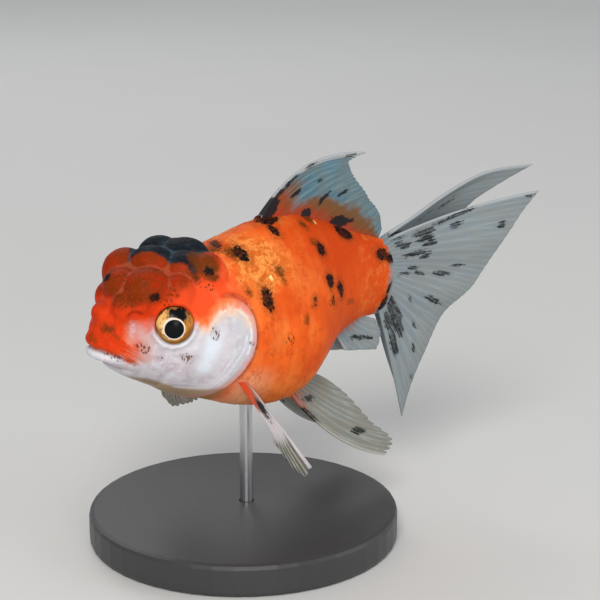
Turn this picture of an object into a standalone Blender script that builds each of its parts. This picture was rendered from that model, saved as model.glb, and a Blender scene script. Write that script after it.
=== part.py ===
"""A calico oranda goldfish, life size, held level on a plain display stand.

The fish is shaped straight first: s runs back from the snout, l to its own left and z up, all in
millimetres. It is then bent a little in plan, as a fish is while it turns, and tilted on the stand.
The row frame has the head toward -X, the left side toward -Y and its origin under the base.
"""

import math

import bmesh
import bpy
import numpy as np
from mathutils import Matrix

MM = 0.001

# Driving dimensions, in millimetres and degrees.
BODY_LENGTH = 89.6
PIVOT_STATION = 45.0
PIVOT_HEIGHT = 58.0
PIVOT_FORWARD = 1.0
BEND_PER_MM = math.radians(0.09)
ROLL = math.radians(4.0)

PARTING_GAP = 0.3
NECK_STATION = 34.0
TAIL_STATION = 74.0
FIN_THICKNESS = 0.6

EYE_STATION = 17.4
EYE_OUT = 10.4
EYE_HEIGHT = 3.9
EYE_RADIUS = 4.6
ORBIT_RADII = (6.4, 5.2, 6.2)
ORBIT_BACK = 0.6
ORBIT_SHARE_OUT = 0.8

# Lips: tube radius, half width of the mouth, how far the ends drop, level, how far back they run.
LIP_FRONT = 0.8
UPPER_LIP = (1.2, 5.2, 1.6, -0.4, 7.0)
LOWER_LIP = (1.4, 5.4, 1.7, -3.2, 7.2)

# Partings in side view, as s and z: the sloping foot of the crown growth, and the jaw's wedge.
CROWN_START = (3.0, 6.9)
CROWN_RISE = 0.27
MOUTH_FRONT = (-6.0, 0.9)
MOUTH_CORNER = (9.6, -5.2)
CHIN_BACK = (14.5, -40.0)

BASE_RADIUS = 38.0
BASE_HEIGHT = 8.0
ROD_RADIUS = 1.6
ROD_STATION = 46.0
ROD_SOCKET_DEPTH = 6.0
ROD_FOOT = 3.0
BELLY_LEVEL = -24.0
BASE_ROUNDING = 1.2

BODY_SIDES = 32
BODY_RINGS = 32
INNER_SIDES = 18
INNER_RINGS = 16
SURFACE_GRAIN = 0.6
FLESH_TRIANGLES = 3000
THINNEST = 0.3

# Body stations: s, top, bottom, half width, widest level, and how square the back and belly are.
BODY_STATIONS = (
    (2.6, 1.8, -3.4, 2.4, -0.5, 2.0, 2.0),
    (3.8, 4.4, -4.9, 4.2, -0.4, 2.1, 2.1),
    (6.2, 7.0, -7.4, 6.6, -0.3, 2.2, 2.1),
    (9.8, 10.6, -10.0, 9.2, 0.0, 2.4, 2.0),
    (14.5, 13.2, -12.6, 11.6, 0.0, 2.4, 2.0),
    (21.0, 15.0, -15.8, 13.7, -0.5, 2.3, 2.0),
    (27.5, 16.2, -18.5, 15.2, -1.2, 2.0, 2.0),
    (33.0, 17.2, -20.6, 16.2, -2.0, 1.8, 2.0),
    (40.0, 19.2, -22.9, 17.2, -3.0, 1.75, 2.1),
    (48.0, 21.4, -24.0, 17.6, -3.0, 1.7, 2.2),
    (56.0, 21.8, -22.6, 16.4, -2.0, 1.75, 2.2),
    (62.0, 20.6, -18.6, 13.7, -0.5, 1.8, 2.1),
    (68.0, 18.4, -12.7, 9.9, 1.0, 1.9, 2.0),
    (74.0, 15.9, -9.0, 7.2, 2.0, 2.0, 2.0),
    (80.0, 13.6, -7.6, 5.3, 2.4, 2.0, 2.0),
    (85.0, 12.2, -7.4, 3.6, 2.4, 2.0, 2.0),
    (88.0, 11.2, -6.4, 2.0, 2.3, 2.0, 2.0),
    (BODY_LENGTH, 8.4, -3.6, 1.0, 2.3, 2.0, 2.0),
)

# Growth on the crown: centre s, l, z and radii along them. Negative l is the right side.
HOOD_LOBES = (
    (5.6, 0.0, 5.4, 3.0, 3.6, 2.9),
    (10.6, 0.0, 11.0, 4.8, 5.0, 4.4),
    (13.0, 6.2, 10.8, 5.8, 5.2, 5.8),
    (14.6, -5.2, 12.4, 5.6, 5.4, 5.8),
    (8.6, 4.6, 7.6, 3.6, 3.6, 4.0),
    (9.4, -3.9, 7.8, 3.6, 3.4, 3.8),
    (19.2, 9.2, 10.4, 4.0, 3.8, 4.4),
    (20.0, -8.8, 10.4, 4.2, 3.8, 4.6),
    (18.0, 0.4, 14.6, 5.2, 5.4, 4.2),
    (23.6, 5.2, 13.8, 5.4, 5.0, 4.6),
    (24.0, -5.6, 14.0, 5.4, 5.0, 4.8),
    (27.2, 0.0, 15.8, 5.6, 5.4, 3.8),
    (29.0, 6.8, 12.8, 4.6, 5.0, 5.2),
    (29.4, -6.6, 13.0, 4.6, 5.0, 5.0),
)

# Gill covers: a plate standing proud of the head, with a rounded outline in side view.
COVER_STATION = 26.6
COVER_LEVEL = -4.6
COVER_HALF_LENGTH = 8.4
COVER_HALF_HEIGHT = 14.0
COVER_TILT = math.radians(-28.0)
COVER_PROUD = 0.9
COVER_DEPTH = 2.2
COVER_INNER_SIDE = 5.0
POCKET_SPARE = 3.0

# How far the cutting boxes run, past the whole fish: ahead of it, behind it, and to each side.
CUT_FRONT = -30.0
CUT_BACK = 130.0
CUT_SIDE = 60.0


def smooth_curve(stations, values, at):
    """Values at any place between stations, with no overshoot (monotone cubic)."""
    stations = np.asarray(stations, float)
    values = np.asarray(values, float)
    at = np.clip(np.asarray(at, float), stations[0], stations[-1])
    step = np.diff(stations)
    slope = np.diff(values) / step
    tangent = np.zeros_like(values)
    same_way = slope[1:] * slope[:-1] > 0
    total = slope[1:] + slope[:-1]
    tangent[1:-1] = np.where(same_way, 2 * slope[1:] * slope[:-1] / np.where(total == 0, 1, total), 0)
    tangent[0], tangent[-1] = slope[0], slope[-1]
    cell = np.clip(np.searchsorted(stations, at) - 1, 0, len(stations) - 2)
    t = (at - stations[cell]) / step[cell]
    return (
        (2 * t**3 - 3 * t**2 + 1) * values[cell]
        + (t**3 - 2 * t**2 + t) * step[cell] * tangent[cell]
        + (3 * t**2 - 2 * t**3) * values[cell + 1]
        + (t**3 - t**2) * step[cell] * tangent[cell + 1]
    )


def body_at(s, column):
    table = np.array(BODY_STATIONS)
    return smooth_curve(table[:, 0], table[:, column], s)


def straight(s, l, z):
    """Fish millimetres to metres before the bend: X back, Y to the right side, Z up."""
    return np.stack(np.broadcast_arrays(s - PIVOT_STATION, -np.asarray(l, float), z), -1) * MM


def bent(points):
    """Straight points turned onto an arc in plan, which carries head and tail to the left side."""
    radius = MM / BEND_PER_MM
    angle = points[:, 0] / radius
    out = points.copy()
    out[:, 0] = (radius + points[:, 1]) * np.sin(angle)
    out[:, 1] = (radius + points[:, 1]) * np.cos(angle) - radius
    return out


def clear_scene():
    for obj in list(bpy.data.objects):
        bpy.data.objects.remove(obj, do_unlink=True)


def collection(name):
    made = bpy.data.collections.new(name)
    bpy.context.scene.collection.children.link(made)
    return made


def material(name, colour, roughness, metallic=0.0):
    made = bpy.data.materials.new(name)
    made.use_nodes = True
    surface = made.node_tree.nodes["Principled BSDF"]
    surface.inputs["Base Color"].default_value = (*colour, 1.0)
    surface.inputs["Roughness"].default_value = roughness
    surface.inputs["Metallic"].default_value = metallic
    made.diffuse_color = (*colour, 1.0)
    return made


def add_object(name, bm, group):
    """A bmesh made into an object of the named group."""
    mesh = bpy.data.meshes.new(name)
    bm.to_mesh(mesh)
    bm.free()
    obj = bpy.data.objects.new(name, mesh)
    group.objects.link(obj)
    return obj


def grid_faces(bm, rows, closed):
    """Quads between rows of vertices, each row an open line or a closed ring."""
    for low, high in zip(rows, rows[1:]):
        count = len(low)
        for i in range(count if closed else count - 1):
            j = (i + 1) % count
            bm.faces.new((low[i], low[j], high[j], high[i]))


def body_loft(margin=0.0, sides=BODY_SIDES, count=BODY_RINGS):
    """The bare body as a bmesh loft, grown outward by a margin."""
    bm = bmesh.new()
    even = np.linspace(0, 1, count)
    stations = BODY_STATIONS[0][0] + (BODY_LENGTH - BODY_STATIONS[0][0]) * (
        0.5 * even + 0.5 * (0.5 - 0.5 * np.cos(math.pi * even))
    )
    turn = np.linspace(0, 2 * math.pi, sides, endpoint=False)
    rings = []
    for s in stations:
        level = body_at(s, 4)
        power = np.where(np.sin(turn) > 0, body_at(s, 5), body_at(s, 6))
        across = np.sign(np.cos(turn)) * np.abs(np.cos(turn)) ** (2 / power)
        upward = np.sign(np.sin(turn)) * np.abs(np.sin(turn)) ** (2 / power)
        reach = np.where(upward > 0, body_at(s, 1) - level, level - body_at(s, 2)) + margin
        half_width = max(body_at(s, 3) + margin, THINNEST)
        points = straight(s, half_width * across, level + np.maximum(reach, THINNEST) * upward)
        rings.append([bm.verts.new(p) for p in points])
    grid_faces(bm, rings, closed=True)
    bm.faces.new(rings[0])
    bm.faces.new(rings[-1])
    bmesh.ops.recalc_face_normals(bm, faces=bm.faces)
    return bm


def add_ball(bm, s, l, z, radii, detail=3):
    """An ellipsoid of the given radii, added to a bmesh."""
    centre = straight(np.float64(s), l, z)
    size = Matrix.Diagonal((*(r * MM for r in radii), 1.0))
    bmesh.ops.create_icosphere(
        bm, subdivisions=detail, radius=1.0, matrix=Matrix.Translation(centre) @ size
    )


def bake(obj):
    """Replaces an object's mesh by what its modifiers give."""
    mesh = bpy.data.meshes.new_from_object(obj.evaluated_get(bpy.context.evaluated_depsgraph_get()))
    obj.modifiers.clear()
    obj.data = mesh
    return obj


def carve(obj, cutter, operation):
    """An exact Boolean, applied."""
    modifier = obj.modifiers.new(operation.title(), "BOOLEAN")
    modifier.operation = operation
    modifier.object = cutter
    modifier.solver = "EXACT"
    return bake(obj)


def copy_of(obj, name, group):
    twin = bpy.data.objects.new(name, obj.data.copy())
    group.objects.link(twin)
    return twin


def discard(*objects):
    for obj in objects:
        bpy.data.objects.remove(obj, do_unlink=True)


def slab(name, group, front, back):
    """A wide box between two stations."""
    bm = bmesh.new()
    bmesh.ops.create_cube(bm, size=1.0)
    for vert in bm.verts:
        s = back if vert.co.x > 0 else front
        l = CUT_SIDE if vert.co.y < 0 else -CUT_SIDE
        z = CUT_SIDE if vert.co.z > 0 else -CUT_SIDE
        vert.co = straight(np.float64(s), l, z)
    bmesh.ops.recalc_face_normals(bm, faces=bm.faces)
    return add_object(name, bm, group)


def above_line(name, group, start, rise, offset):
    """A box whose underside is a sloping plane through (s, z) start, moved up by an offset."""
    bm = bmesh.new()
    bmesh.ops.create_cube(bm, size=1.0)
    for vert in bm.verts:
        s = CUT_BACK if vert.co.x > 0 else CUT_FRONT
        l = CUT_SIDE if vert.co.y < 0 else -CUT_SIDE
        floor = start[1] + rise * (s - start[0]) + offset
        z = CUT_SIDE if vert.co.z > 0 else floor
        vert.co = straight(np.float64(s), l, z)
    bmesh.ops.recalc_face_normals(bm, faces=bm.faces)
    return add_object(name, bm, group)


def lip_tube(name, group, radius, reach, drop, level, back):
    """A rounded lip: a tube bent in a U round the front of the mouth."""
    curve = bpy.data.curves.new(name, "CURVE")
    curve.dimensions = "3D"
    curve.bevel_depth = radius * MM
    curve.bevel_resolution = 3
    curve.use_fill_caps = True
    line = curve.splines.new("POLY")
    steps = 17
    line.points.add(steps - 1)
    for i in range(steps):
        swing = math.pi * (i / (steps - 1) - 0.5)
        s = LIP_FRONT + radius + back * (1 - math.cos(swing))
        point = straight(np.float64(s), reach * math.sin(swing), level - drop * (1 - math.cos(swing)))
        line.points[i].co = (*point, 1.0)
    source = bpy.data.objects.new(name, curve)
    group.objects.link(source)
    mesh = bpy.data.meshes.new_from_object(
        source.evaluated_get(bpy.context.evaluated_depsgraph_get())
    )
    tube = bpy.data.objects.new(name + "_mesh", mesh)
    group.objects.link(tube)
    discard(source)
    return tube


def make_flesh(group):
    """Body, crown growth, orbits and lips run together into one soft closed surface."""
    bm = body_loft()
    for s, l, z, *radii in HOOD_LOBES:
        add_ball(bm, s, l, z, radii)
    for side in (1, -1):
        orbit = (EYE_STATION + ORBIT_BACK, side * EYE_OUT * ORBIT_SHARE_OUT, EYE_HEIGHT)
        add_ball(bm, *orbit, ORBIT_RADII)
    lips = [
        lip_tube("upper_lip", group, *UPPER_LIP),
        lip_tube("lower_lip", group, *LOWER_LIP),
    ]
    for lip in lips:
        bm.from_mesh(lip.data)
    discard(*lips)
    flesh = add_object("flesh", bm, group)
    skin = flesh.modifiers.new("One surface", "REMESH")
    skin.mode = "VOXEL"
    skin.voxel_size = SURFACE_GRAIN * MM
    soften = flesh.modifiers.new("Soften", "SMOOTH")
    soften.factor = 0.5
    soften.iterations = 4
    bake(flesh)
    thin = flesh.modifiers.new("Thin out", "DECIMATE")
    flesh.data.calc_loop_triangles()
    thin.ratio = FLESH_TRIANGLES / len(flesh.data.loop_triangles)
    return bake(flesh)


def cover_outline(name, group, side, growth, inner):
    """A solid through the side of the head with the gill cover's outline."""
    bm = bmesh.new()
    bmesh.ops.create_cone(
        bm, cap_ends=True, segments=32, radius1=1.0, radius2=1.0, depth=1.0
    )
    far = 30.0
    for vert in bm.verts:
        along = vert.co.x * (COVER_HALF_LENGTH + growth)
        up = vert.co.y * (COVER_HALF_HEIGHT + growth)
        s = COVER_STATION + along * math.cos(COVER_TILT) - up * math.sin(COVER_TILT)
        z = COVER_LEVEL + along * math.sin(COVER_TILT) + up * math.cos(COVER_TILT)
        l = side * (far if vert.co.z > 0 else inner)
        vert.co = straight(np.float64(s), l, z)
    bmesh.ops.recalc_face_normals(bm, faces=bm.faces)
    return add_object(name, bm, group)


def loft_tool(name, group, margin):
    return add_object(name, body_loft(margin, INNER_SIDES, INNER_RINGS), group)


def bend_object(obj):
    mesh = obj.data
    points = np.empty(len(mesh.vertices) * 3)
    mesh.vertices.foreach_get("co", points)
    mesh.vertices.foreach_set("co", bent(points.reshape(-1, 3)).ravel())
    mesh.update()
    return obj


def eyeball(name, group, side, growth=0.0):
    bm = bmesh.new()
    bmesh.ops.create_uvsphere(bm, u_segments=18, v_segments=9, radius=(EYE_RADIUS + growth) * MM)
    bm.transform(Matrix.Rotation(math.pi / 2, 4, "X"))
    bm.transform(Matrix.Translation(straight(np.float64(EYE_STATION), side * EYE_OUT, EYE_HEIGHT)))
    return add_object(name, bm, group)


def make_flesh_parts(group, tools):
    """The flesh parted with thin cuts into the pieces a person would name."""
    flesh = make_flesh(tools)
    clearances = [bend_object(copy_of(flesh, "flesh_clearance", tools))]
    half_gap = PARTING_GAP / 2
    parts = {}
    for side, name in ((1, "left"), (-1, "right")):
        cover = add_object("gill_cover_" + name, body_loft(COVER_PROUD), group)
        outline = cover_outline("outline_" + name, tools, side, 0.0, COVER_INNER_SIDE)
        inside = loft_tool("inside_" + name, tools, -COVER_DEPTH)
        carve(cover, outline, "INTERSECT")
        carve(cover, inside, "DIFFERENCE")
        pocket = loft_tool("pocket_" + name, tools, COVER_PROUD + POCKET_SPARE)
        wide = cover_outline("wide_" + name, tools, side, PARTING_GAP, COVER_INNER_SIDE - PARTING_GAP)
        deep = loft_tool("deep_" + name, tools, -COVER_DEPTH - PARTING_GAP)
        clear = loft_tool("cover_clearance_" + name, tools, COVER_PROUD + PARTING_GAP)
        carve(clear, wide, "INTERSECT")
        clearances.append(bend_object(clear))
        carve(pocket, wide, "INTERSECT")
        carve(pocket, deep, "DIFFERENCE")
        carve(flesh, pocket, "DIFFERENCE")
        discard(outline, inside, pocket, wide, deep)
        parts["gill_cover_" + name] = cover
    regions = {
        "tail_stem": (TAIL_STATION + half_gap, CUT_BACK),
        "trunk": (NECK_STATION + half_gap, TAIL_STATION - half_gap),
        "head": (CUT_FRONT, NECK_STATION - half_gap),
    }
    for name, (front, back) in regions.items():
        part = copy_of(flesh, name, group)
        region = slab("region", tools, front, back)
        carve(part, region, "INTERSECT")
        discard(region)
        parts[name] = part

    parts["hood"] = copy_of(parts["head"], "hood", group)
    for name, offset, operation in (("hood", half_gap, "INTERSECT"), ("head", -half_gap, "DIFFERENCE")):
        region = above_line("region", tools, CROWN_START, CROWN_RISE, offset)
        carve(parts[name], region, operation)
        discard(region)

    parts["lower_jaw"] = copy_of(parts["head"], "lower_jaw", group)
    for name, growth, operation in (("lower_jaw", 0.0, "INTERSECT"), ("head", PARTING_GAP, "DIFFERENCE")):
        region = jaw_region(tools, growth)
        carve(parts[name], region, operation)
        discard(region)

    for side, cover in ((1, "gill_cover_left"), (-1, "gill_cover_right")):
        socket = eyeball("socket", tools, side, PARTING_GAP)
        for name in ("head", "hood", cover):
            carve(parts[name], socket, "DIFFERENCE")
        discard(socket)
    discard(flesh)
    for part in parts.values():
        bend_object(part)
    grow = clearances[0].modifiers.new("Clearance", "DISPLACE")
    grow.strength = PARTING_GAP * MM
    grow.mid_level = 0.0
    return parts, clearances


def jaw_region(group, growth):
    """A wedge below the line of the mouth."""
    bm = bmesh.new()
    bmesh.ops.create_cube(bm, size=1.0)
    mouth_front = (MOUTH_FRONT[0], MOUTH_FRONT[1] + growth)
    mouth_corner = (MOUTH_CORNER[0] + growth, MOUTH_CORNER[1] + growth)
    chin_back = (CHIN_BACK[0] + growth, CHIN_BACK[1])
    for vert in bm.verts:
        if vert.co.z > 0:
            s, z = mouth_corner if vert.co.x > 0 else mouth_front
        else:
            s, z = chin_back if vert.co.x > 0 else (MOUTH_FRONT[0], CHIN_BACK[1])
        vert.co = straight(np.float64(s), CUT_SIDE if vert.co.y < 0 else -CUT_SIDE, z)
    bmesh.ops.recalc_face_normals(bm, faces=bm.faces)
    return add_object("jaw_region", bm, group)


# Fin rays: root s, l, z; tip s, l, z; bow s, l, z half way out. The left fin of each pair is
# listed, and the right one mirrors it with its own swing where the fish holds it otherwise.
DORSAL_RAYS = (
    ((46.6, 0, 20.0), (78.7, 0, 35.0), (-2.6, 0, 5.4)),
    ((49.0, 0, 20.2), (74.0, 0, 32.6), (-1.6, 0, 3.8)),
    ((57.0, 0, 20.2), (75.4, 0, 29.6), (-0.6, 0, 1.2)),
    ((67.0, 0, 17.4), (79.6, 0, 24.0), (-0.2, 0, 0.4)),
    ((76.0, 0, 14.0), (83.9, 0, 18.8), (0, 0, 0)),
    ((83.4, 0, 11.6), (85.2, 0, 14.6), (0, 0, 0)),
)
TAIL_LEFT_RAYS = (
    ((84.4, 0.7, 11.6), (127.0, 9.0, 22.8), (0.0, 0, 1.6)),
    ((85.6, 0.7, 8.0), (117.0, 9.6, 11.2), (0, 0.6, 0.8)),
    ((86.6, 0.7, 4.8), (110.0, 7.2, 0.2), (0, 0.8, 0.6)),
    ((86.4, 0.7, 1.4), (102.6, 5.0, -8.0), (0, 0.8, 0.2)),
    ((85.6, 0.7, -2.6), (97.6, 4.0, -20.0), (0.2, 0.8, 0)),
    ((84.2, 0.7, -5.6), (91.6, 4.2, -35.6), (-0.4, 1.6, 0)),
)
TAIL_RIGHT_RAYS = (
    ((84.4, -0.7, 11.4), (132.6, -1.6, 26.6), (-1.6, -0.4, 3.0)),
    ((85.6, -0.7, 8.0), (114.0, -3.4, 16.6), (0, -1.4, 0.6)),
    ((86.6, -0.7, 4.8), (107.4, -5.2, 5.4), (0, -1.8, 0.4)),
    ((86.4, -0.7, 1.4), (105.0, -6.0, -7.0), (0, -2.0, 0.2)),
    ((85.6, -0.7, -2.6), (101.0, -6.0, -20.0), (0.2, -1.6, 0)),
    ((84.2, -0.7, -5.6), (96.4, -5.0, -33.0), (0.4, -1.2, 0)),
)
PECTORAL_RAYS = (
    ((33.0, 13.0, -8.0), (52.4, 19.8, -35.6), (0, 0, 0)),
    ((32.2, 12.6, -9.2), (51.6, 18.4, -38.6), (0.1, 0.1, 0)),
    ((31.4, 12.2, -10.4), (49.4, 16.4, -36.8), (0.2, 0.2, 0)),
    ((30.6, 11.8, -11.6), (46.4, 14.4, -29.6), (0.4, 0.4, -0.6)),
)
PECTORAL_RIGHT_RAYS = (
    ((32.0, -12.4, -9.4), (43.6, -15.6, -27.4), (0.6, -1.4, 0.0)),
    ((32.0, -12.4, -9.8), (41.0, -17.0, -29.6), (0.4, -1.4, 0.0)),
    ((31.6, -12.4, -10.2), (37.0, -17.6, -29.8), (0.0, -1.4, 0.0)),
    ((31.2, -12.4, -10.6), (32.6, -16.6, -25.8), (-0.6, -1.0, 0.0)),
)
PELVIC_RAYS = (
    ((53.6, 5.0, -20.6), (81.6, 11.0, -41.8), (-0.6, 1.0, -3.4)),
    ((55.4, 4.8, -20.0), (84.8, 9.8, -38.4), (-0.4, 1.0, -2.4)),
    ((57.4, 4.6, -19.2), (79.4, 7.6, -33.2), (0, 0.8, -1.2)),
    ((59.2, 4.4, -18.2), (72.4, 5.8, -25.2), (0, 0.4, -0.4)),
    ((60.6, 4.2, -17.0), (66.0, 5.4, -20.0), (0, 0, 0)),
)
ANAL_RAYS = (
    ((70.0, 2.6, -9.4), (72.6, 3.8, -14.4), (0, 0, 0)),
    ((72.6, 2.4, -8.0), (82.6, 3.4, -15.8), (0, 0.2, -1.0)),
    ((75.2, 2.2, -7.0), (84.2, 3.0, -11.6), (0, 0.2, -0.6)),
    ((77.6, 2.0, -6.2), (82.6, 2.6, -7.9), (0, 0, 0)),
)
ANAL_RIGHT_SWING = (-1.4, -1.0, -1.8)


def fin_surface(rays, u, v):
    """A point of the membrane: u counts across the rays, v runs from root to tip."""
    table = np.array(rays, float).reshape(len(rays), 9)
    places = np.linspace(0, 1, len(rays))
    root_tip_bow = np.stack([smooth_curve(places, table[:, k], u) for k in range(9)], -1)
    root, tip, bow = np.split(root_tip_bow, 3, -1)
    v = np.asarray(v)[..., None]
    return root + (tip - root) * v + bow * 4 * v * (1 - v)


def add_fin(name, rays, columns, rows, group, clearances):
    """A membrane with thickness, cut back to just clear of the flesh."""
    bm = bmesh.new()
    lines = []
    for u in np.linspace(0, 1, columns + 1):
        points = fin_surface(rays, u, np.linspace(0, 1, rows + 1))
        placed = bent(straight(points[:, 0], points[:, 1], points[:, 2]))
        lines.append([bm.verts.new(p) for p in placed])
    grid_faces(bm, lines, closed=False)
    fin = add_object(name, bm, group)
    thick = fin.modifiers.new("Thickness", "SOLIDIFY")
    thick.thickness = FIN_THICKNESS * MM
    thick.offset = 0.0
    for clearance in clearances:
        cut = fin.modifiers.new("Clear of flesh", "BOOLEAN")
        cut.operation = "DIFFERENCE"
        cut.object = clearance
        cut.solver = "EXACT"
    return fin


def mirrored(rays, swing=(0.0, 0.0, 0.0)):
    """The same rays on the other side, with the tips moved by a swing."""
    flipped = []
    for root, tip, bow in rays:
        moved = tuple(a + b for a, b in zip(tip, swing))
        flipped.append(tuple((s, -l, z) for s, l, z in (root, moved, bow)))
    return flipped


def make_fins(group, clearances):
    fins = {
        "dorsal_fin": (DORSAL_RAYS, 12, 5),
        "tail_fin_left": (TAIL_LEFT_RAYS, 14, 4),
        "tail_fin_right": (TAIL_RIGHT_RAYS, 14, 4),
        "pectoral_fin_left": (PECTORAL_RAYS, 4, 7),
        "pectoral_fin_right": (PECTORAL_RIGHT_RAYS, 5, 6),
        "pelvic_fin_left": (PELVIC_RAYS, 7, 5),
        "pelvic_fin_right": (mirrored(PELVIC_RAYS), 7, 5),
        "anal_fin_left": (ANAL_RAYS, 6, 4),
        "anal_fin_right": (mirrored(ANAL_RAYS, ANAL_RIGHT_SWING), 6, 4),
    }
    return {name: add_fin(name, *shape, group, clearances) for name, shape in fins.items()}


def make_stand(group, tools, pose):
    """A round base with a rod up into the belly, both square to the floor."""
    foot = pose @ (Matrix.Translation(bent(straight(np.array([ROD_STATION]), 0.0, BELLY_LEVEL))[0]))
    place = foot.to_translation()
    top = place.z + ROD_SOCKET_DEPTH * MM
    bottom = ROD_FOOT * MM

    def cylinder(name, target, radius, low, high, x, y, segments):
        bm = bmesh.new()
        bmesh.ops.create_cone(
            bm, cap_ends=True, segments=segments, radius1=radius, radius2=radius, depth=high - low
        )
        bm.transform(Matrix.Translation((x, y, (low + high) / 2)))
        return add_object(name, bm, target)

    gap = PARTING_GAP * MM
    rod = cylinder("stand_rod", group, ROD_RADIUS * MM, bottom, top, place.x, place.y, 16)
    bore = cylinder(
        "rod_bore", tools, ROD_RADIUS * MM + gap, bottom - gap, top + gap, place.x, place.y, 16
    )
    base = cylinder("stand_base", group, BASE_RADIUS * MM, 0.0, BASE_HEIGHT * MM, 0.0, 0.0, 48)
    edge = base.modifiers.new("Round edges", "BEVEL")
    edge.width = BASE_ROUNDING * MM
    edge.segments = 2
    edge.limit_method = "ANGLE"
    hole = base.modifiers.new("Rod hole", "BOOLEAN")
    hole.operation = "DIFFERENCE"
    hole.object = bore
    return rod, base, bore


def set_looks(parts):
    looks = {
        "hood": ("hood", (0.42, 0.06, 0.02), 0.45),
        "head": ("face", (0.80, 0.14, 0.03), 0.35),
        "lower_jaw": ("lip", (0.78, 0.74, 0.72), 0.35),
        "gill_cover_left": ("pearl", (0.76, 0.76, 0.80), 0.28),
        "gill_cover_right": ("pearl", (0.76, 0.76, 0.80), 0.28),
        "trunk": ("flank", (0.84, 0.20, 0.04), 0.35),
        "tail_stem": ("flank", (0.84, 0.20, 0.04), 0.35),
        "eye_left": ("eye", (0.72, 0.48, 0.12), 0.12),
        "eye_right": ("eye", (0.72, 0.48, 0.12), 0.12),
        "stand_base": ("base", (0.05, 0.05, 0.055), 0.45),
        "stand_rod": ("rod", (0.62, 0.62, 0.64), 0.30),
    }
    fin_look = ("fin", (0.66, 0.68, 0.70), 0.45)
    for name, obj in parts.items():
        label, colour, roughness = looks.get(name, fin_look)
        metallic = 1.0 if name == "stand_rod" else 0.0
        obj.data.materials.clear()
        obj.data.materials.append(material(f"{name}_{label}", colour, roughness, metallic))
        obj.data.shade_smooth()


def main():
    clear_scene()
    group = collection("goldfish")
    tools = collection("cutters")
    pose = bpy.data.objects.new("fish_pose", None)
    group.objects.link(pose)
    pose.location = (PIVOT_FORWARD * MM, 0.0, PIVOT_HEIGHT * MM)
    pose.rotation_euler = (ROLL, 0.0, 0.0)
    bpy.context.view_layer.update()

    parts, clearances = make_flesh_parts(group, tools)
    for side, name in ((1, "left"), (-1, "right")):
        parts["eye_" + name] = bend_object(eyeball("eye_" + name, group, side))

    parts.update(make_fins(group, clearances))

    for obj in (*parts.values(), *clearances):
        obj.parent = pose
    rod, base, bore = make_stand(group, tools, pose.matrix_world)
    socket = parts["trunk"].modifiers.new("Rod socket", "BOOLEAN")
    socket.operation = "DIFFERENCE"
    socket.object = bore
    parts.update({"stand_rod": rod, "stand_base": base})

    for tool in tools.objects:
        tool.hide_render = True
        tool.display_type = "WIRE"
    set_looks(parts)


main()
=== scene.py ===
import math

import bmesh
import bpy
import numpy as np
from mathutils import Matrix, Vector
from mathutils.bvhtree import BVHTree


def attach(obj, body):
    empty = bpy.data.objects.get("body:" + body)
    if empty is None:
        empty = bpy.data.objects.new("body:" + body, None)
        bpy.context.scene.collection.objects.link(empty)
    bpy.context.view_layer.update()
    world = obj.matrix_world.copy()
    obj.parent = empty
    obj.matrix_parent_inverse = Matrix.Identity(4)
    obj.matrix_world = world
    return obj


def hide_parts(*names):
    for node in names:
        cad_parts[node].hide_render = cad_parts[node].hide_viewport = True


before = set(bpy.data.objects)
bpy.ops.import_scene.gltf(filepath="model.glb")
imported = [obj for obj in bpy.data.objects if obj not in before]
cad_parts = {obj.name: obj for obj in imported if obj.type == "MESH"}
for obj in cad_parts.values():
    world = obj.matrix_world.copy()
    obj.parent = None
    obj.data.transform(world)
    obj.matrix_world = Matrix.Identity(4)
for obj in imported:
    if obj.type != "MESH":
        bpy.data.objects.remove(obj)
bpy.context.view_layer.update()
mm = 0.001

# The fish is shaped straight, in millimetres: s back from the snout, l to its left, z up.
# place() then bends it in plan and tilts it, as the solids are.
pose = {
    "pivotStation": 45.0,
    "pivotHeight": 58.0,
    "pivotForward": 1.0,
    "bendPerMm": math.radians(0.09),
    "roll": math.radians(4.0),
}


def place(fish):
    fish = np.asarray(fish, float)
    radius = 1.0 / pose["bendPerMm"]
    angle = (fish[..., 0] - pose["pivotStation"]) / radius
    x = (radius - fish[..., 1]) * np.sin(angle) + pose["pivotForward"]
    y = (radius - fish[..., 1]) * np.cos(angle) - radius
    z = fish[..., 2]
    c, n = math.cos(pose["roll"]), math.sin(pose["roll"])
    return np.stack([x, y * c - z * n, y * n + z * c + pose["pivotHeight"]], -1) * mm


def unplace(points):  # the way back from place()
    points = np.asarray(points, float) / mm - (pose["pivotForward"], 0, pose["pivotHeight"])
    radius = 1.0 / pose["bendPerMm"]
    c, n = math.cos(pose["roll"]), math.sin(pose["roll"])
    x, y, z = points[..., 0], points[..., 1], points[..., 2]
    y, z = y * c + z * n + radius, z * c - y * n
    return np.stack([np.arctan2(x, y) * radius + pose["pivotStation"], radius - np.hypot(x, y), z], -1)


def blendAlong(stations, values, at):  # monotone cubic between stations
    stations, values = np.asarray(stations, float), np.asarray(values, float)
    at = np.clip(np.asarray(at, float), stations[0], stations[-1])
    step = np.diff(stations)
    slope = np.diff(values) / step
    tangent = np.zeros_like(values)
    total = slope[1:] + slope[:-1]
    same = slope[1:] * slope[:-1] > 0
    tangent[1:-1] = np.where(same, 2 * slope[1:] * slope[:-1] / np.where(total == 0, 1, total), 0)
    tangent[0], tangent[-1] = slope[0], slope[-1]
    cell = np.clip(np.searchsorted(stations, at) - 1, 0, len(stations) - 2)
    t = (at - stations[cell]) / step[cell]
    return (
        (2 * t**3 - 3 * t**2 + 1) * values[cell]
        + (t**3 - 2 * t**2 + t) * step[cell] * tangent[cell]
        + (3 * t**2 - 2 * t**3) * values[cell + 1]
        + (t**3 - t**2) * step[cell] * tangent[cell + 1]
    )


def ease(low, high, value):  # 0 at low, 1 at high, smooth between
    t = np.clip((value - low) / (high - low), 0, 1)
    return t * t * (3 - 2 * t)


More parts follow.
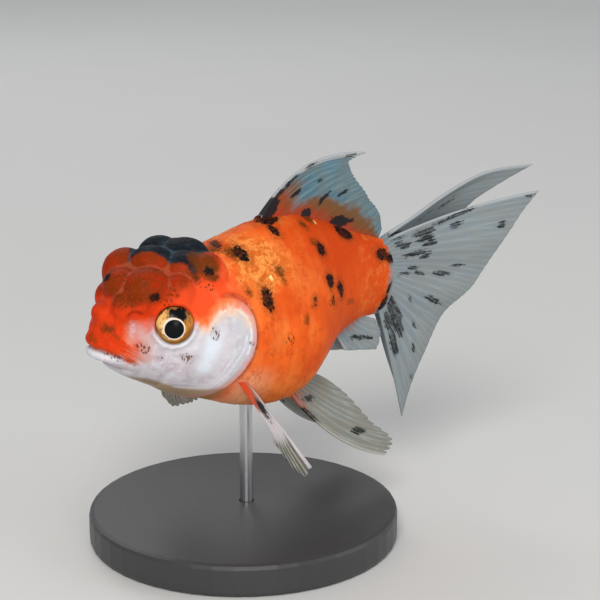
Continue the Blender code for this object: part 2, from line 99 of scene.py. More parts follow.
def hump(distance, width):
    return np.exp(-((distance / width) ** 2))


# Shader expressions.


class Wire:
    def __init__(self, paint, socket):
        self.paint, self.socket = paint, socket

    def maths(self, operation, *values):
        return self.paint.node("ShaderNodeMath", {"operation": operation}, dict(enumerate(values)))

    def __add__(self, other):
        return self.maths("ADD", self, other)

    __radd__ = __add__

    def __sub__(self, other):
        return self.maths("SUBTRACT", self, other)

    def __rsub__(self, other):
        return self.maths("SUBTRACT", other, self)

    def __mul__(self, other):
        return self.maths("MULTIPLY", self, other)

    __rmul__ = __mul__

    def __truediv__(self, other):
        return self.maths("DIVIDE", self, other)

    def __pow__(self, other):
        return self.maths("POWER", self, other)

    def least(self, other):
        return self.maths("MINIMUM", self, other)

    def most(self, other):
        return self.maths("MAXIMUM", self, other)


class Paint:  # a material; gloss sets the surface's own sockets, and tones name its colours
    def __init__(self, name, gloss, tones=None):
        self.tones = tones
        self.material = bpy.data.materials.new(name)
        self.material.use_nodes = True
        self.tree = self.material.node_tree
        self.surface = self.tree.nodes["Principled BSDF"]
        for socket, value in gloss.items():
            self.surface.inputs[socket].default_value = value

    def node(self, kind, settings, inputs, output=0):
        made = self.tree.nodes.new(kind)
        for key, value in settings.items():
            setattr(made, key, value)
        for key, value in inputs.items():
            value = self.tones[value] if isinstance(value, str) else value
            if isinstance(value, Wire):
                self.tree.links.new(value.socket, made.inputs[key])
            elif isinstance(value, tuple) and made.inputs[key].type == "RGBA":
                made.inputs[key].default_value = (*value, 1.0)
            else:
                made.inputs[key].default_value = value
        return Wire(self, made.outputs[output])

    def read(self, name, output="Fac"):
        return self.node("ShaderNodeAttribute", {"attribute_name": name}, {}, output)

    def where(self):
        return self.node("ShaderNodeTexCoord", {}, {}, "Object")

    def noise(self, scale, detail=3.0, roughness=0.55, vector=None):
        place = {"Vector": vector or self.where(), "Scale": scale}
        return self.node("ShaderNodeTexNoise", {}, {**place, "Detail": detail, "Roughness": roughness})

    def cells(self, scale, vector=None, feature="F1"):
        inputs = {"Vector": vector or self.where(), "Scale": scale}
        return self.node("ShaderNodeTexVoronoi", {"feature": feature}, inputs, "Distance")

    def ease(self, value, low, high):
        inputs = {"Value": value, "From Min": low, "From Max": high}
        return self.node("ShaderNodeMapRange", {"interpolation_type": "SMOOTHSTEP"}, inputs)

    def mix(self, factor, low, high):
        return self.node("ShaderNodeMix", {"data_type": "RGBA"}, {0: factor, 6: low, 7: high}, 2)

    def lay(self, share, tone):  # a tone over the colour so far
        self.colour = self.mix(share, self.colour, tone)

    def parts(self, vector):
        split = self.node("ShaderNodeSeparateXYZ", {}, {0: vector}).socket.node
        return [Wire(self, socket) for socket in split.outputs]

    def stretch(self, vector, by):
        return self.node("ShaderNodeVectorMath", {"operation": "MULTIPLY"}, {0: vector, 1: by})

    def bump(self, height, strength, distance, under=None):
        inputs = {"Height": height, "Strength": strength, "Distance": distance}
        if under:
            inputs["Normal"] = under
        return self.node("ShaderNodeBump", {}, inputs)

    def feed(self, socket, value):
        self.tree.links.new(value.socket, self.surface.inputs[socket])


# Markings.

# Black marks on the skin: centre s, l, z, then half length, half width, slope down the tail in
# degrees, and depth through the body. The right side carries its own, by name "right...".
blackMarks = {
    "flankOval": (40.9, 14.9, 7.1, 3.0, 1.6, -82, 4),
    "shoulderBlotch": (38.6, 6.6, 16.3, 2.0, 1.5, -60, 3),
    "shoulderFront": (35.2, 0.8, 17.8, 1.5, 1.1, -60, 2.4),
    "underDorsalFront": (49.3, 4.3, 20.0, 1.8, 1.0, -70, 2.6),
    "dorsalOrigin": (50.0, 0.3, 22.4, 3.5, 2.4, 20, 3),
    "backRing": (60.0, 9.3, 15.1, 1.7, 1.3, -60, 3),
    "flankUpper": (60.7, 12.6, 8.1, 2.0, 1.5, -70, 3),
    "flankLower": (64.9, 11.3, 5.0, 2.2, 1.2, -60, 3),
    "flankDrop": (61.1, 13.7, 3.5, 1.0, 0.7, -70, 3),
    "dotHigh": (54.5, 15.3, 5.4, 0.45, 0.4, 0, 2),
    "dotLow": (54.3, 15.7, 4.1, 0.6, 0.45, 20, 2),
    "dorsalRear": (71.4, 2.5, 16.3, 2.8, 1.9, -25, 3),
    "stemTop": (82.9, 3.3, 9.3, 2.3, 1.5, -15, 3),
    "stemTopRear": (86.0, 2.7, 7.6, 1.8, 1.1, -30, 3),
    "stemEdge": (85.8, 2.4, -0.4, 1.5, 0.7, 60, 3),
    "stemFoot": (84.7, 2.8, -4.0, 2.4, 1.2, 70, 3),
    "nape": (26.8, 10.6, 14.8, 1.1, 0.9, -30, 2.5),
    "lobeFront": (6.9, -1.4, 13.6, 1.3, 1.2, -40, 1.5),
    "lobeNear": (11.6, 11.0, 11.5, 1.5, 1.1, 10, 2),
    "rightShoulder": (41.0, -9.6, 14.0, 2.4, 1.6, -50, 3),
    "rightFlank": (52.0, -16.0, 2.0, 2.2, 1.3, -75, 3),
    "rightRear": (66.0, -11.0, 6.0, 1.8, 1.3, -60, 3),
    "rightBack": (58.0, -6.4, 18.2, 1.5, 1.2, -40, 2.4),
    "rightStem": (80.5, -4.6, 3.0, 1.9, 1.2, -70, 3),
    "rightNape": (31.0, -7.6, 15.4, 1.6, 1.2, -30, 2.4),
    "rightLobe": (13.0, -10.4, 12.2, 1.3, 1.0, 0, 2),
}
brownMarks = {  # thin pigment: brown and olive smudges
    "nape": (27.8, 10.8, 13.4, 1.7, 1.3, -30, 3),
    "lobeShade": (26.2, 8.6, 16.6, 3.8, 2.8, -30, 4.5),
    "lobeFoot": (23.6, 10.6, 13.6, 1.6, 1.0, -40, 3),
    "neck": (33.6, 2.6, 17.6, 1.6, 1.4, -40, 2.5),
    "snout": (4.0, 3.4, 3.0, 1.9, 1.1, -35, 2.0),
    "lipTip": (1.4, 0.6, 0.7, 1.0, 1.1, 60, 2.4),
    "snoutLow": (5.4, 5.0, 1.4, 0.9, 0.6, -35, 1.6),
    "behindCover": (36.7, 13.1, 8.9, 1.3, 0.9, -70, 2.5),
    "shoulder": (36.7, 5.6, 16.5, 2.2, 1.5, -40, 3),
    "sideFaint": (51.2, 16.8, 1.4, 1.6, 0.9, -80, 2.5),
    "olive": (46.1, 12.1, 12.3, 1.7, 1.3, -60, 2.5),
    "oliveLow": (46.3, 13.2, 10.3, 1.1, 0.9, -60, 2.5),
    "backSmear": (58.6, 8.5, 16.5, 1.8, 0.9, -60, 2.5),
    "saddle": (61.3, 1.2, 20.9, 1.8, 1.4, -30, 3),
    "saddleFront": (57.9, 4.5, 20.0, 1.6, 1.0, -60, 2.5),
    "analRoot": (70.2, 9.8, 0.4, 2.2, 0.7, -20, 2),
    "rightOlive": (47.0, -14.6, 8.0, 1.7, 1.2, -60, 2.5),
    "rightFaint": (60.0, -13.6, 6.0, 1.5, 1.0, -60, 2.5),
}
dashMarks = {  # clusters of tiny dark flecks, most of them on the head
    "cheekLow": (9.9, 8.8, -0.8, 1.9, 1.4, -20, 2.5),
    "cheekGrey": (19.4, 13.2, -4.0, 2.0, 1.2, -30, 2),
    "cheekPink": (13.6, 10.9, -3.4, 0.9, 0.8, 0, 2),
    "coverFleck": (26.0, 14.8, 1.3, 1.7, 1.2, -80, 2.5),
    "lobeFlecks": (9.8, 8.2, 14.9, 1.4, 1.2, 0, 2.5),
    "frontFlecks": (6.6, 5.4, 9.6, 2.2, 1.6, 0, 3),
    "lobeLow": (14.6, 11.2, 9.6, 1.6, 0.8, 0, 2.5),
    "farLobeFlecks": (9.6, 1.6, 13.6, 2.0, 1.4, 0, 3),
    "browFlecks": (16.4, 11.2, 12.0, 1.6, 1.2, -60, 2),
    "napeFlecks": (26.4, 11.2, 11.4, 2.2, 0.8, -20, 2),
    "bellyFlecks": (46.1, 17.5, -2.9, 1.4, 1.4, 0, 2.5),
    "rimFleck": (34.9, 17.4, -1.9, 0.7, 0.6, 0, 2),
    "lipFlecks": (5.4, 4.6, -3.6, 2.8, 0.8, -30, 2.5),
    "rightCheek": (15.0, -12.0, -3.0, 1.6, 1.0, -20, 2),
}
giltMarks = {  # bright metallic flecks
    "shoulder": (43.3, 12.5, 11.3, 0.8, 0.6, -60, 2.5),
    "back": (62.6, 3.0, 19.9, 0.5, 0.4, 0, 2),
    "rightShoulder": (43.0, -12.0, 12.0, 0.8, 0.6, -60, 2.5),
}


def markField(fish, marks):  # millimetres inside the nearest mark, negative outside
    field = np.full(len(fish), -9.0)
    for s, l, z, long, wide, slope, deep in marks.values():
        c, n = math.cos(math.radians(slope)), math.sin(math.radians(slope))
        ds, dl, dz = fish[:, 0] - s, fish[:, 1] - l, fish[:, 2] - z
        along, aside = ds * c + dz * n, dz * c - ds * n
        size = np.sqrt((along / long) ** 2 + (aside / wide) ** 2 + (dl / deep) ** 2)
        field = np.maximum(field, (1 - size) * min(long, wide))
    return field


gillCover = {
    "station": 26.6,
    "level": -4.6,
    "halfLength": 8.4,
    "halfHeight": 14.0,
    "tilt": math.radians(-28.0),
    "proud": 0.9,
    "slit": 0.75,
    "rimGroove": 0.22,
}


def coverEdge(fish):  # millimetres outside the gill cover's outline, and the place along it
    cover = gillCover
    c, n = math.cos(cover["tilt"]), math.sin(cover["tilt"])
    ds, dz = fish[:, 0] - cover["station"], fish[:, 2] - cover["level"]
    along, up = ds * c + dz * n, dz * c - ds * n
    size = np.sqrt((along / cover["halfLength"]) ** 2 + (up / cover["halfHeight"]) ** 2)
    return (size - 1) * np.sqrt(along**2 + up**2) / np.maximum(size, 1e-6), along


# The skin.

# s, top, bottom, half width, widest level, squareness of the back and of the belly
bodyStations = np.array(
    (
        (2.6, 1.8, -3.4, 2.4, -0.5, 2.0, 2.0),
        (3.8, 4.4, -4.9, 4.2, -0.4, 2.1, 2.1),
        (6.2, 7.0, -7.4, 6.6, -0.3, 2.2, 2.1),
        (9.8, 10.6, -10.0, 9.2, 0.0, 2.4, 2.0),
        (14.5, 13.2, -12.6, 11.6, 0.0, 2.4, 2.0),
        (21.0, 15.0, -15.8, 13.7, -0.5, 2.3, 2.0),
        (27.5, 16.2, -18.5, 15.2, -1.2, 2.0, 2.0),
        (33.0, 17.2, -20.6, 16.2, -2.0, 1.8, 2.0),
        (40.0, 19.2, -22.9, 17.2, -3.0, 1.75, 2.1),
        (48.0, 21.4, -24.0, 17.6, -3.0, 1.7, 2.2),
        (56.0, 21.8, -22.6, 16.4, -2.0, 1.75, 2.2),
        (62.0, 20.6, -18.6, 13.7, -0.5, 1.8, 2.1),
        (68.0, 18.4, -12.7, 9.9, 1.0, 1.9, 2.0),
        (74.0, 15.9, -9.0, 7.2, 2.0, 2.0, 2.0),
        (80.0, 13.6, -7.6, 5.3, 2.4, 2.0, 2.0),
        (85.0, 12.2, -7.4, 3.6, 2.4, 2.0, 2.0),
        (88.0, 11.2, -6.4, 2.0, 2.3, 2.0, 2.0),
        (89.6, 8.4, -3.6, 1.0, 2.3, 2.0, 2.0),
    )
)
hoodLobes = (  # s, l, z and radii along them
    (5.6, 0.0, 5.4, 3.0, 3.6, 2.9),
    (10.6, 0.0, 11.0, 4.8, 5.0, 4.4),
    (13.0, 6.2, 10.8, 5.8, 5.2, 5.8),
    (14.6, -5.2, 12.4, 5.6, 5.4, 5.8),
    (8.6, 4.6, 7.6, 3.6, 3.6, 4.0),
    (9.4, -3.9, 7.8, 3.6, 3.4, 3.8),
    (19.2, 9.2, 10.4, 4.0, 3.8, 4.4),
    (20.0, -8.8, 10.4, 4.2, 3.8, 4.6),
    (18.0, 0.4, 15.4, 5.2, 5.4, 4.2),
    (23.6, 5.2, 13.8, 5.4, 5.0, 4.6),
    (24.0, -5.6, 14.8, 5.4, 5.0, 4.8),
    (27.2, 0.0, 16.2, 5.6, 5.4, 3.8),
    (29.0, 6.8, 12.8, 4.6, 5.0, 5.2),
    (29.4, -6.6, 13.0, 4.6, 5.0, 5.0),
)
eyes = {
    "station": 17.4,
    "out": 10.4,
    "height": 3.9,
    "radius": 4.6,
    "turnForward": math.radians(28.0),
    "turnUp": math.radians(6.0),
    "irisRadius": 4.25,
    "domeHeight": 3.9,
    "socketDepth": 0.55,
    "lidRise": 0.45,
    "lidCrease": 0.18,
    "orbit": (6.4, 5.2, 6.2),
    "sides": 64,
}
skin = {
    "sides": 128,
    "rings": 150,
    "grain": 0.42,
    "softening": 6,
    "cheekSoftening": 14,
    "knobShare": 0.34,
    "knobsPerLobe": 9,
    "seed": 7,
    "lipRadii": {"upper": 1.2, "lower": 1.6},
    "finFlesh": {"tailLeft": 0.5, "tailRight": 0.5, "anal": 0.7, "analRight": 0.7},
}


def bodyAt(s, column):
    return blendAlong(bodyStations[:, 0], bodyStations[:, column], s)


def bodySurface(s, turn):  # a point of the plain body; turn 0 is the left side's widest
    level = bodyAt(s, 4)
    power = np.where(np.sin(turn) > 0, bodyAt(s, 5), bodyAt(s, 6))
    across = np.sign(np.cos(turn)) * np.abs(np.cos(turn)) ** (2 / power)
    upward = np.sign(np.sin(turn)) * np.abs(np.sin(turn)) ** (2 / power)
    reach = np.where(upward > 0, bodyAt(s, 1) - level, level - bodyAt(s, 2))
    return np.stack([s + 0 * turn, bodyAt(s, 3) * across, level + reach * upward], -1)


def meshFrom(name, points, faces):
    mesh = bpy.data.meshes.new(name)
    mesh.from_pydata([tuple(p) for p in points], [], [tuple(f) for f in faces])
    mesh.update()
    return mesh


def objectFrom(name, data):
    made = bpy.data.objects.new(name, data)
    bpy.context.scene.collection.objects.link(made)
    return made


def readField(items, name, width, kind=float):
    values = np.empty(len(items) * width, kind)
    items.foreach_get(name, values)
    return values.reshape(-1, width)


def pointsOf(mesh):
    return readField(mesh.vertices, "co", 3)


def edgesOf(mesh):
    return readField(mesh.edges, "vertices", 2, int)


def normalsOf(mesh):
    return readField(mesh.vertices, "normal", 3)


def movePoints(mesh, points):
    mesh.vertices.foreach_set("co", np.asarray(points, float).ravel())
    mesh.update()


def faceOut(mesh):
    bm = bmesh.new()
    bm.from_mesh(mesh)
    bmesh.ops.recalc_face_normals(bm, faces=bm.faces)
    bm.to_mesh(mesh)
    bm.free()


def shellFaces(columns, rows):  # two layers of one grid of points, and the wall round their rims
    index = np.arange((columns + 1) * (rows + 1)).reshape(columns + 1, rows + 1)
    quads = np.stack([index[:-1, :-1], index[1:, :-1], index[1:, 1:], index[:-1, 1:]], -1).reshape(-1, 4)
    rim = np.concatenate([index[:, 0], index[-1, 1:], index[-2::-1, -1], index[0, -2:0:-1]])
    after = np.roll(rim, -1)
    wall = np.stack([rim, rim + index.size, after + index.size, after], -1)
    return np.concatenate([quads, quads[:, ::-1] + index.size, wall])


def writeField(mesh, name, values):
    values = np.asarray(values, float)
    kind = "FLOAT" if values.ndim == 1 else "FLOAT_VECTOR"
    layer = mesh.attributes.new(name, kind, "POINT")
    layer.data.foreach_set("value" if values.ndim == 1 else "vector", values.ravel())


def relax(points, edges, share, times):  # each point moves towards its neighbours' mean
    count = np.maximum(np.bincount(edges.ravel(), minlength=len(points)), 1)[:, None]
    share = np.broadcast_to(np.asarray(share, float), (len(points),))[:, None]
    for _ in range(times):
        total = np.zeros_like(points)
        for axis in range(3):
            ends = points[:, axis]
            total[:, axis] += np.bincount(edges[:, 0], ends[edges[:, 1]], len(points))
            total[:, axis] += np.bincount(edges[:, 1], ends[edges[:, 0]], len(points))
        points = points + share * (total / count - points)
    return points


def toLine(fish, line):  # distance to a polyline, and the place along it from 0 to 1
    line = np.asarray(line, float)
    best, share = np.full(len(fish), 1e9), np.zeros(len(fish))
    for k, (a, b) in enumerate(zip(line, line[1:])):
        along = b - a
        t = np.clip(((fish - a) @ along) / (along @ along), 0, 1)
        gap = np.linalg.norm(fish - a - t[:, None] * along, axis=1)
        share = np.where(gap < best, (k + t) / (len(line) - 1), share)
        best = np.minimum(best, gap)
    return best, share


def eyeFrame(side):  # centre, and the eye's own backward, upward and outward directions
    centre = np.array([eyes["station"], side * eyes["out"], eyes["height"]])
    forward, lift = eyes["turnForward"], eyes["turnUp"]
    outward = np.array(
        [-math.sin(forward) * math.cos(lift), side * math.cos(forward) * math.cos(lift), math.sin(lift)]
    )
    backward = np.cross(outward, [0, 0, 1]) * side
    backward /= np.linalg.norm(backward)
    upward = np.cross(backward, outward) * side
    return centre, backward, upward / np.linalg.norm(upward), outward


def fromEye(points, side):  # height along the eye's outward direction, and distance from that line
    centre, *_, outward = eyeFrame(side)
    local = points - centre
    height = local @ outward
    return height, np.linalg.norm(local - height[:, None] * outward, axis=1)


def eyeDome(radial):  # height of the eye's clear front over its middle
    rim = math.sqrt(eyes["radius"] ** 2 - eyes["irisRadius"] ** 2)
    inside = np.clip(1 - (radial / eyes["irisRadius"]) ** 2, 0, 1)
    outside = np.sqrt(np.clip(eyes["radius"] ** 2 - radial**2, 0, None))
    return np.where(radial < eyes["irisRadius"], rim + (eyes["domeHeight"] - rim) * inside**0.7, outside)


# Fin rays: root, tip and bow at the middle, each s, l, z.
finRays = {
    "dorsal": (
        ((46.6, 0, 20.0), (78.7, 0, 35.0), (-2.6, 0, 5.4)),
        ((49.0, 0, 20.2), (74.0, 0, 32.6), (-1.6, 0, 3.8)),
        ((57.0, 0, 20.2), (75.4, 0, 29.6), (-0.6, 0, 1.2)),
        ((67.0, 0, 17.4), (79.6, 0, 24.0), (-0.2, 0, 0.4)),
        ((76.0, 0, 14.0), (83.9, 0, 18.8), (0, 0, 0)),
        ((83.4, 0, 11.6), (85.2, 0, 14.6), (0, 0, 0)),
    ),
    "tailLeft": (
        ((84.4, 0.7, 11.6), (127.0, 9.0, 22.8), (0.0, 0, 1.6)),
        ((85.6, 0.7, 8.0), (117.0, 9.6, 11.2), (0, 0.6, 0.8)),
        ((86.6, 0.7, 4.8), (110.0, 7.2, 0.2), (0, 0.8, 0.6)),
        ((86.4, 0.7, 1.4), (102.6, 5.0, -8.0), (0, 0.8, 0.2)),
        ((85.6, 0.7, -2.6), (97.6, 4.0, -20.0), (0.2, 0.8, 0)),
        ((84.2, 0.7, -5.6), (91.6, 4.2, -35.6), (-0.4, 1.6, 0)),
    ),
    "tailRight": (
        ((84.4, -0.7, 11.4), (132.6, -1.6, 26.6), (-1.6, -0.4, 3.0)),
        ((85.6, -0.7, 8.0), (114.0, -3.4, 16.6), (0, -1.4, 0.6)),
        ((86.6, -0.7, 4.8), (107.4, -5.2, 5.4), (0, -1.8, 0.4)),
        ((86.4, -0.7, 1.4), (105.0, -6.0, -7.0), (0, -2.0, 0.2)),
        ((85.6, -0.7, -2.6), (101.0, -6.0, -20.0), (0.2, -1.6, 0)),
        ((84.2, -0.7, -5.6), (96.4, -5.0, -33.0), (0.4, -1.2, 0)),
    ),
    "pectoralLeft": (
        ((33.0, 13.0, -8.0), (52.4, 19.8, -35.6), (0, 0, 0)),
        ((32.2, 12.6, -9.2), (51.6, 18.4, -38.6), (0.1, 0.1, 0)),
        ((31.4, 12.2, -10.4), (49.4, 16.4, -36.8), (0.2, 0.2, 0)),
        ((30.6, 11.8, -11.6), (46.4, 14.4, -29.6), (0.4, 0.4, -0.6)),
    ),
    "pectoralRight": (
        ((32.0, -12.4, -9.4), (43.6, -15.6, -27.4), (0.6, -1.4, 0.0)),
        ((32.0, -12.4, -9.8), (41.0, -17.0, -29.6), (0.4, -1.4, 0.0)),
        ((31.6, -12.4, -10.2), (37.0, -17.6, -29.8), (0.0, -1.4, 0.0)),
        ((31.2, -12.4, -10.6), (32.6, -16.6, -25.8), (-0.6, -1.0, 0.0)),
    ),
    "pelvic": (
        ((53.6, 5.0, -20.6), (81.6, 11.0, -41.8), (-0.6, 1.0, -3.4)),
        ((55.4, 4.8, -20.0), (84.8, 9.8, -38.4), (-0.4, 1.0, -2.4)),
        ((57.4, 4.6, -19.2), (79.4, 7.6, -33.2), (0, 0.8, -1.2)),
        ((59.2, 4.4, -18.2), (72.4, 5.8, -25.2), (0, 0.4, -0.4)),
        ((60.6, 4.2, -17.0), (66.0, 5.4, -20.0), (0, 0, 0)),
    ),
    "anal": (
        ((70.0, 2.6, -9.4), (72.6, 3.8, -14.4), (0, 0, 0)),
        ((72.6, 2.4, -8.0), (82.6, 3.4, -15.8), (0, 0.2, -1.0)),
        ((75.2, 2.2, -7.0), (84.2, 3.0, -11.6), (0, 0.2, -0.6)),
        ((77.6, 2.0, -6.2), (82.6, 2.6, -7.9), (0, 0, 0)),
    ),
}


def mirroredRays(rays, swing=(0.0, 0.0, 0.0)):
    flipped = []
    for root, tip, bow in rays:
        moved = tuple(a + b for a, b in zip(tip, swing))
        flipped.append(tuple((s, -l, z) for s, l, z in (root, moved, bow)))
    return flipped


finRays["pelvicRight"] = mirroredRays(finRays["pelvic"])
finRays["analRight"] = mirroredRays(finRays["anal"], (-1.4, -1.0, -1.8))


def membrane(rays, u, v):  # u across the rays, v from root to tip
    table = np.array(rays, float).reshape(len(rays), 9)
    places = np.linspace(0, 1, len(rays))
    columns = np.stack([blendAlong(places, table[:, k], u) for k in range(9)], -1)
    root, tip, bow = np.split(columns, 3, -1)
    v = np.asarray(v)[..., None]
    return root + (tip - root) * v + bow * 4 * v * (1 - v)


def addBall(bm, fish, radii, detail=3):
    size = Matrix.Diagonal((*(radius * mm for radius in radii), 1.0))
    spot = Matrix.Translation([at * mm for at in fish])
    bmesh.ops.create_icosphere(bm, subdivisions=detail, radius=1.0, matrix=spot @ size)


def closeRings(bm, rings):  # quads between rings of points, and a face over each end
    for low, high in zip(rings, rings[1:]):
        for i in range(len(low)):
            j = (i + 1) % len(low)
            bm.faces.new((low[i], low[j], high[j], high[i]))
    bm.faces.new(rings[0][::-1])
    bm.faces.new(rings[-1])


def addTube(bm, line, radius, sides=16):  # a closed round bar along a line of points
    rings = []
    for k, centre in enumerate(line):
        ahead = line[min(k + 1, len(line) - 1)] - line[max(k - 1, 0)]
        ahead /= np.linalg.norm(ahead)
        first = np.cross(ahead, [0, 0, 1])
        first /= np.linalg.norm(first)
        second = np.cross(ahead, first)
        turn = np.linspace(0, 2 * math.pi, sides, endpoint=False)[:, None]
        ring = centre + radius * (np.cos(turn) * first + np.sin(turn) * second)
        rings.append([bm.verts.new(p * mm) for p in ring])
    closeRings(bm, rings)


lips = {  # reach to the side, drop to the corner, level, length back to the corner, front
    "upper": (5.2, 1.6, -0.4, 7.0, 2.4),
    "lower": (5.4, 1.7, -3.3, 7.2, 3.1),
    "lowerPale": (5.4, 1.7, -3.0, 7.2, 3.0),
}


def lipLine(name):
    reach, drop, level, back, front = lips[name]
    swing = np.linspace(-0.5, 0.5, 25) * math.pi
    s = front + back * (1 - np.cos(swing))
    return np.stack([s, reach * np.sin(swing), level - drop * (1 - np.cos(swing))], -1)


def roughForm():  # body, growth, orbits, lips and fin roots, run through each other
    bm = bmesh.new()
    even = np.linspace(0, 1, skin["rings"])
    first, last = bodyStations[0, 0], bodyStations[-1, 0]
    stations = first + (last - first) * (0.5 * even + 0.5 * (0.5 - 0.5 * np.cos(math.pi * even)))
    turn = np.linspace(0, 2 * math.pi, skin["sides"], endpoint=False)
    closeRings(bm, [[bm.verts.new(p * mm) for p in bodySurface(s, turn)] for s in stations])
    bmesh.ops.recalc_face_normals(bm, faces=bm.faces)
    dice = np.random.default_rng(skin["seed"])
    for s, l, z, rs, rl, rz in hoodLobes:
        addBall(bm, (s, l, z), (rs, rl, rz), 4)
        for k in range(skin["knobsPerLobe"]):  # smaller knobs over each lobe
            rise = 0.1 + 0.85 * (k + 0.5) / skin["knobsPerLobe"]
            turnAt = k * 2.4 + dice.uniform(0, 1)
            flat = math.sqrt(1 - rise**2)
            share = skin["knobShare"] * dice.uniform(0.8, 1.2)
            reach = 1.03 - share
            ahead, aside = reach * flat * math.cos(turnAt), reach * flat * math.sin(turnAt)
            at = (s + rs * ahead, l + rl * aside, z + rz * reach * rise)
            addBall(bm, at, (rs * share, rl * share, rz * share))
    for side in (1, -1):
        addBall(bm, (eyes["station"] + 0.6, side * eyes["out"] * 0.8, eyes["height"]), eyes["orbit"], 4)
    for name, radius in skin["lipRadii"].items():
        addTube(bm, lipLine(name), radius)
    for name, rays in finRays.items():
        flesh = skin["finFlesh"].get(name, 1.1)
        for u in np.linspace(0, 1, 22):
            for v in (0.0, 0.05) if flesh > 0.6 else (0.0,):
                addBall(bm, membrane(rays, u, v), (flesh,) * 3, 2)
    return bm


def softForm():
    bm = roughForm()
    mesh = bpy.data.meshes.new("roughForm")
    bm.to_mesh(mesh)
    bm.free()
    rough = objectFrom("roughForm", mesh)
    one = rough.modifiers.new("One surface", "REMESH")
    one.mode = "VOXEL"
    one.voxel_size = skin["grain"] * mm
    depsgraph = bpy.context.evaluated_depsgraph_get()
    made = bpy.data.meshes.new_from_object(rough.evaluated_get(depsgraph))
    bpy.data.objects.remove(rough, do_unlink=True)
    made.name = "skin"
    return made


mouthLine = ((1.6, 0.0, -2.0), (2.6, 3.4, -2.3), (4.6, 5.4, -3.0), (7.4, 6.9, -4.4), (9.3, 7.9, -5.6))
folds = {  # grooves on each side of the head: line, depth, width
    "mouth": (mouthLine, 0.75, 0.42),
    "mouthEnd": (((9.3, 7.9, -5.6), (10.6, 8.6, -6.9), (11.4, 8.4, -8.6)), 0.3, 0.5),
    "upperJaw": (((3.0, 3.6, 1.2), (5.6, 5.8, -0.6), (8.6, 7.6, -3.0), (10.2, 8.4, -4.8)), 0.35, 0.45),
    "upperJawBack": (((4.6, 5.6, 2.8), (7.6, 7.6, 0.4), (10.4, 9.0, -2.6)), 0.22, 0.5),
    "underEye": (((10.6, 9.6, 2.8), (12.4, 10.6, -1.6), (16.6, 12.2, -4.0), (21.4, 13.2, -3.4)), 0.22, 0.7),
    "lowerLip": (((2.4, 3.0, -5.0), (4.6, 5.4, -6.0), (7.6, 7.0, -7.2), (9.6, 7.6, -8.0)), 0.4, 0.5),
    "cheekPlate": (((21.4, 13.4, -3.0), (22.6, 13.8, -8.0), (19.6, 12.0, -13.0)), 0.22, 0.6),
    "throatFront": (((12.0, 4.0, -12.0), (18.0, 6.4, -15.6), (25.0, 7.0, -18.4)), 0.3, 0.5),
    "throatBack": (((14.0, 2.0, -13.0), (20.0, 3.6, -16.6), (27.0, 4.0, -19.4)), 0.3, 0.5),
    "throatEdge": (((19.0, 8.4, -11.8), (22.4, 9.3, -12.9), (26.0, 10.8, -13.3)), 0.3, 0.4),
    "bellyFold": (((54.6, 14.6, 8.2), (57.4, 15.0, 5.0), (60.6, 14.8, 0.4), (62.8, 13.4, -5.4)), 0.3, 1.5),
    "bellyFoldLow": (((62.0, 13.8, -2.0), (63.2, 12.4, -8.0), (62.0, 10.0, -13.0)), 0.24, 1.6),
    "nostrilFold": (((8.6, 7.2, 8.0), (7.2, 6.6, 7.0), (7.0, 6.3, 5.8), (8.2, 7.2, 5.2)), 0.3, 0.4),
}
flatView = np.array((1, 0, 1))  # as seen from the side
nostril = {
    "line": ((7.2, 7.6, 6.6), (7.8, 8.1, 7.3), (8.8, 8.7, 7.2)),
    "depth": 0.8,
    "flap": ((7.0, 7.2, 7.8), (8.0, 8.0, 8.5), (9.2, 8.8, 8.2)),
    "flapHeight": 0.5,
}


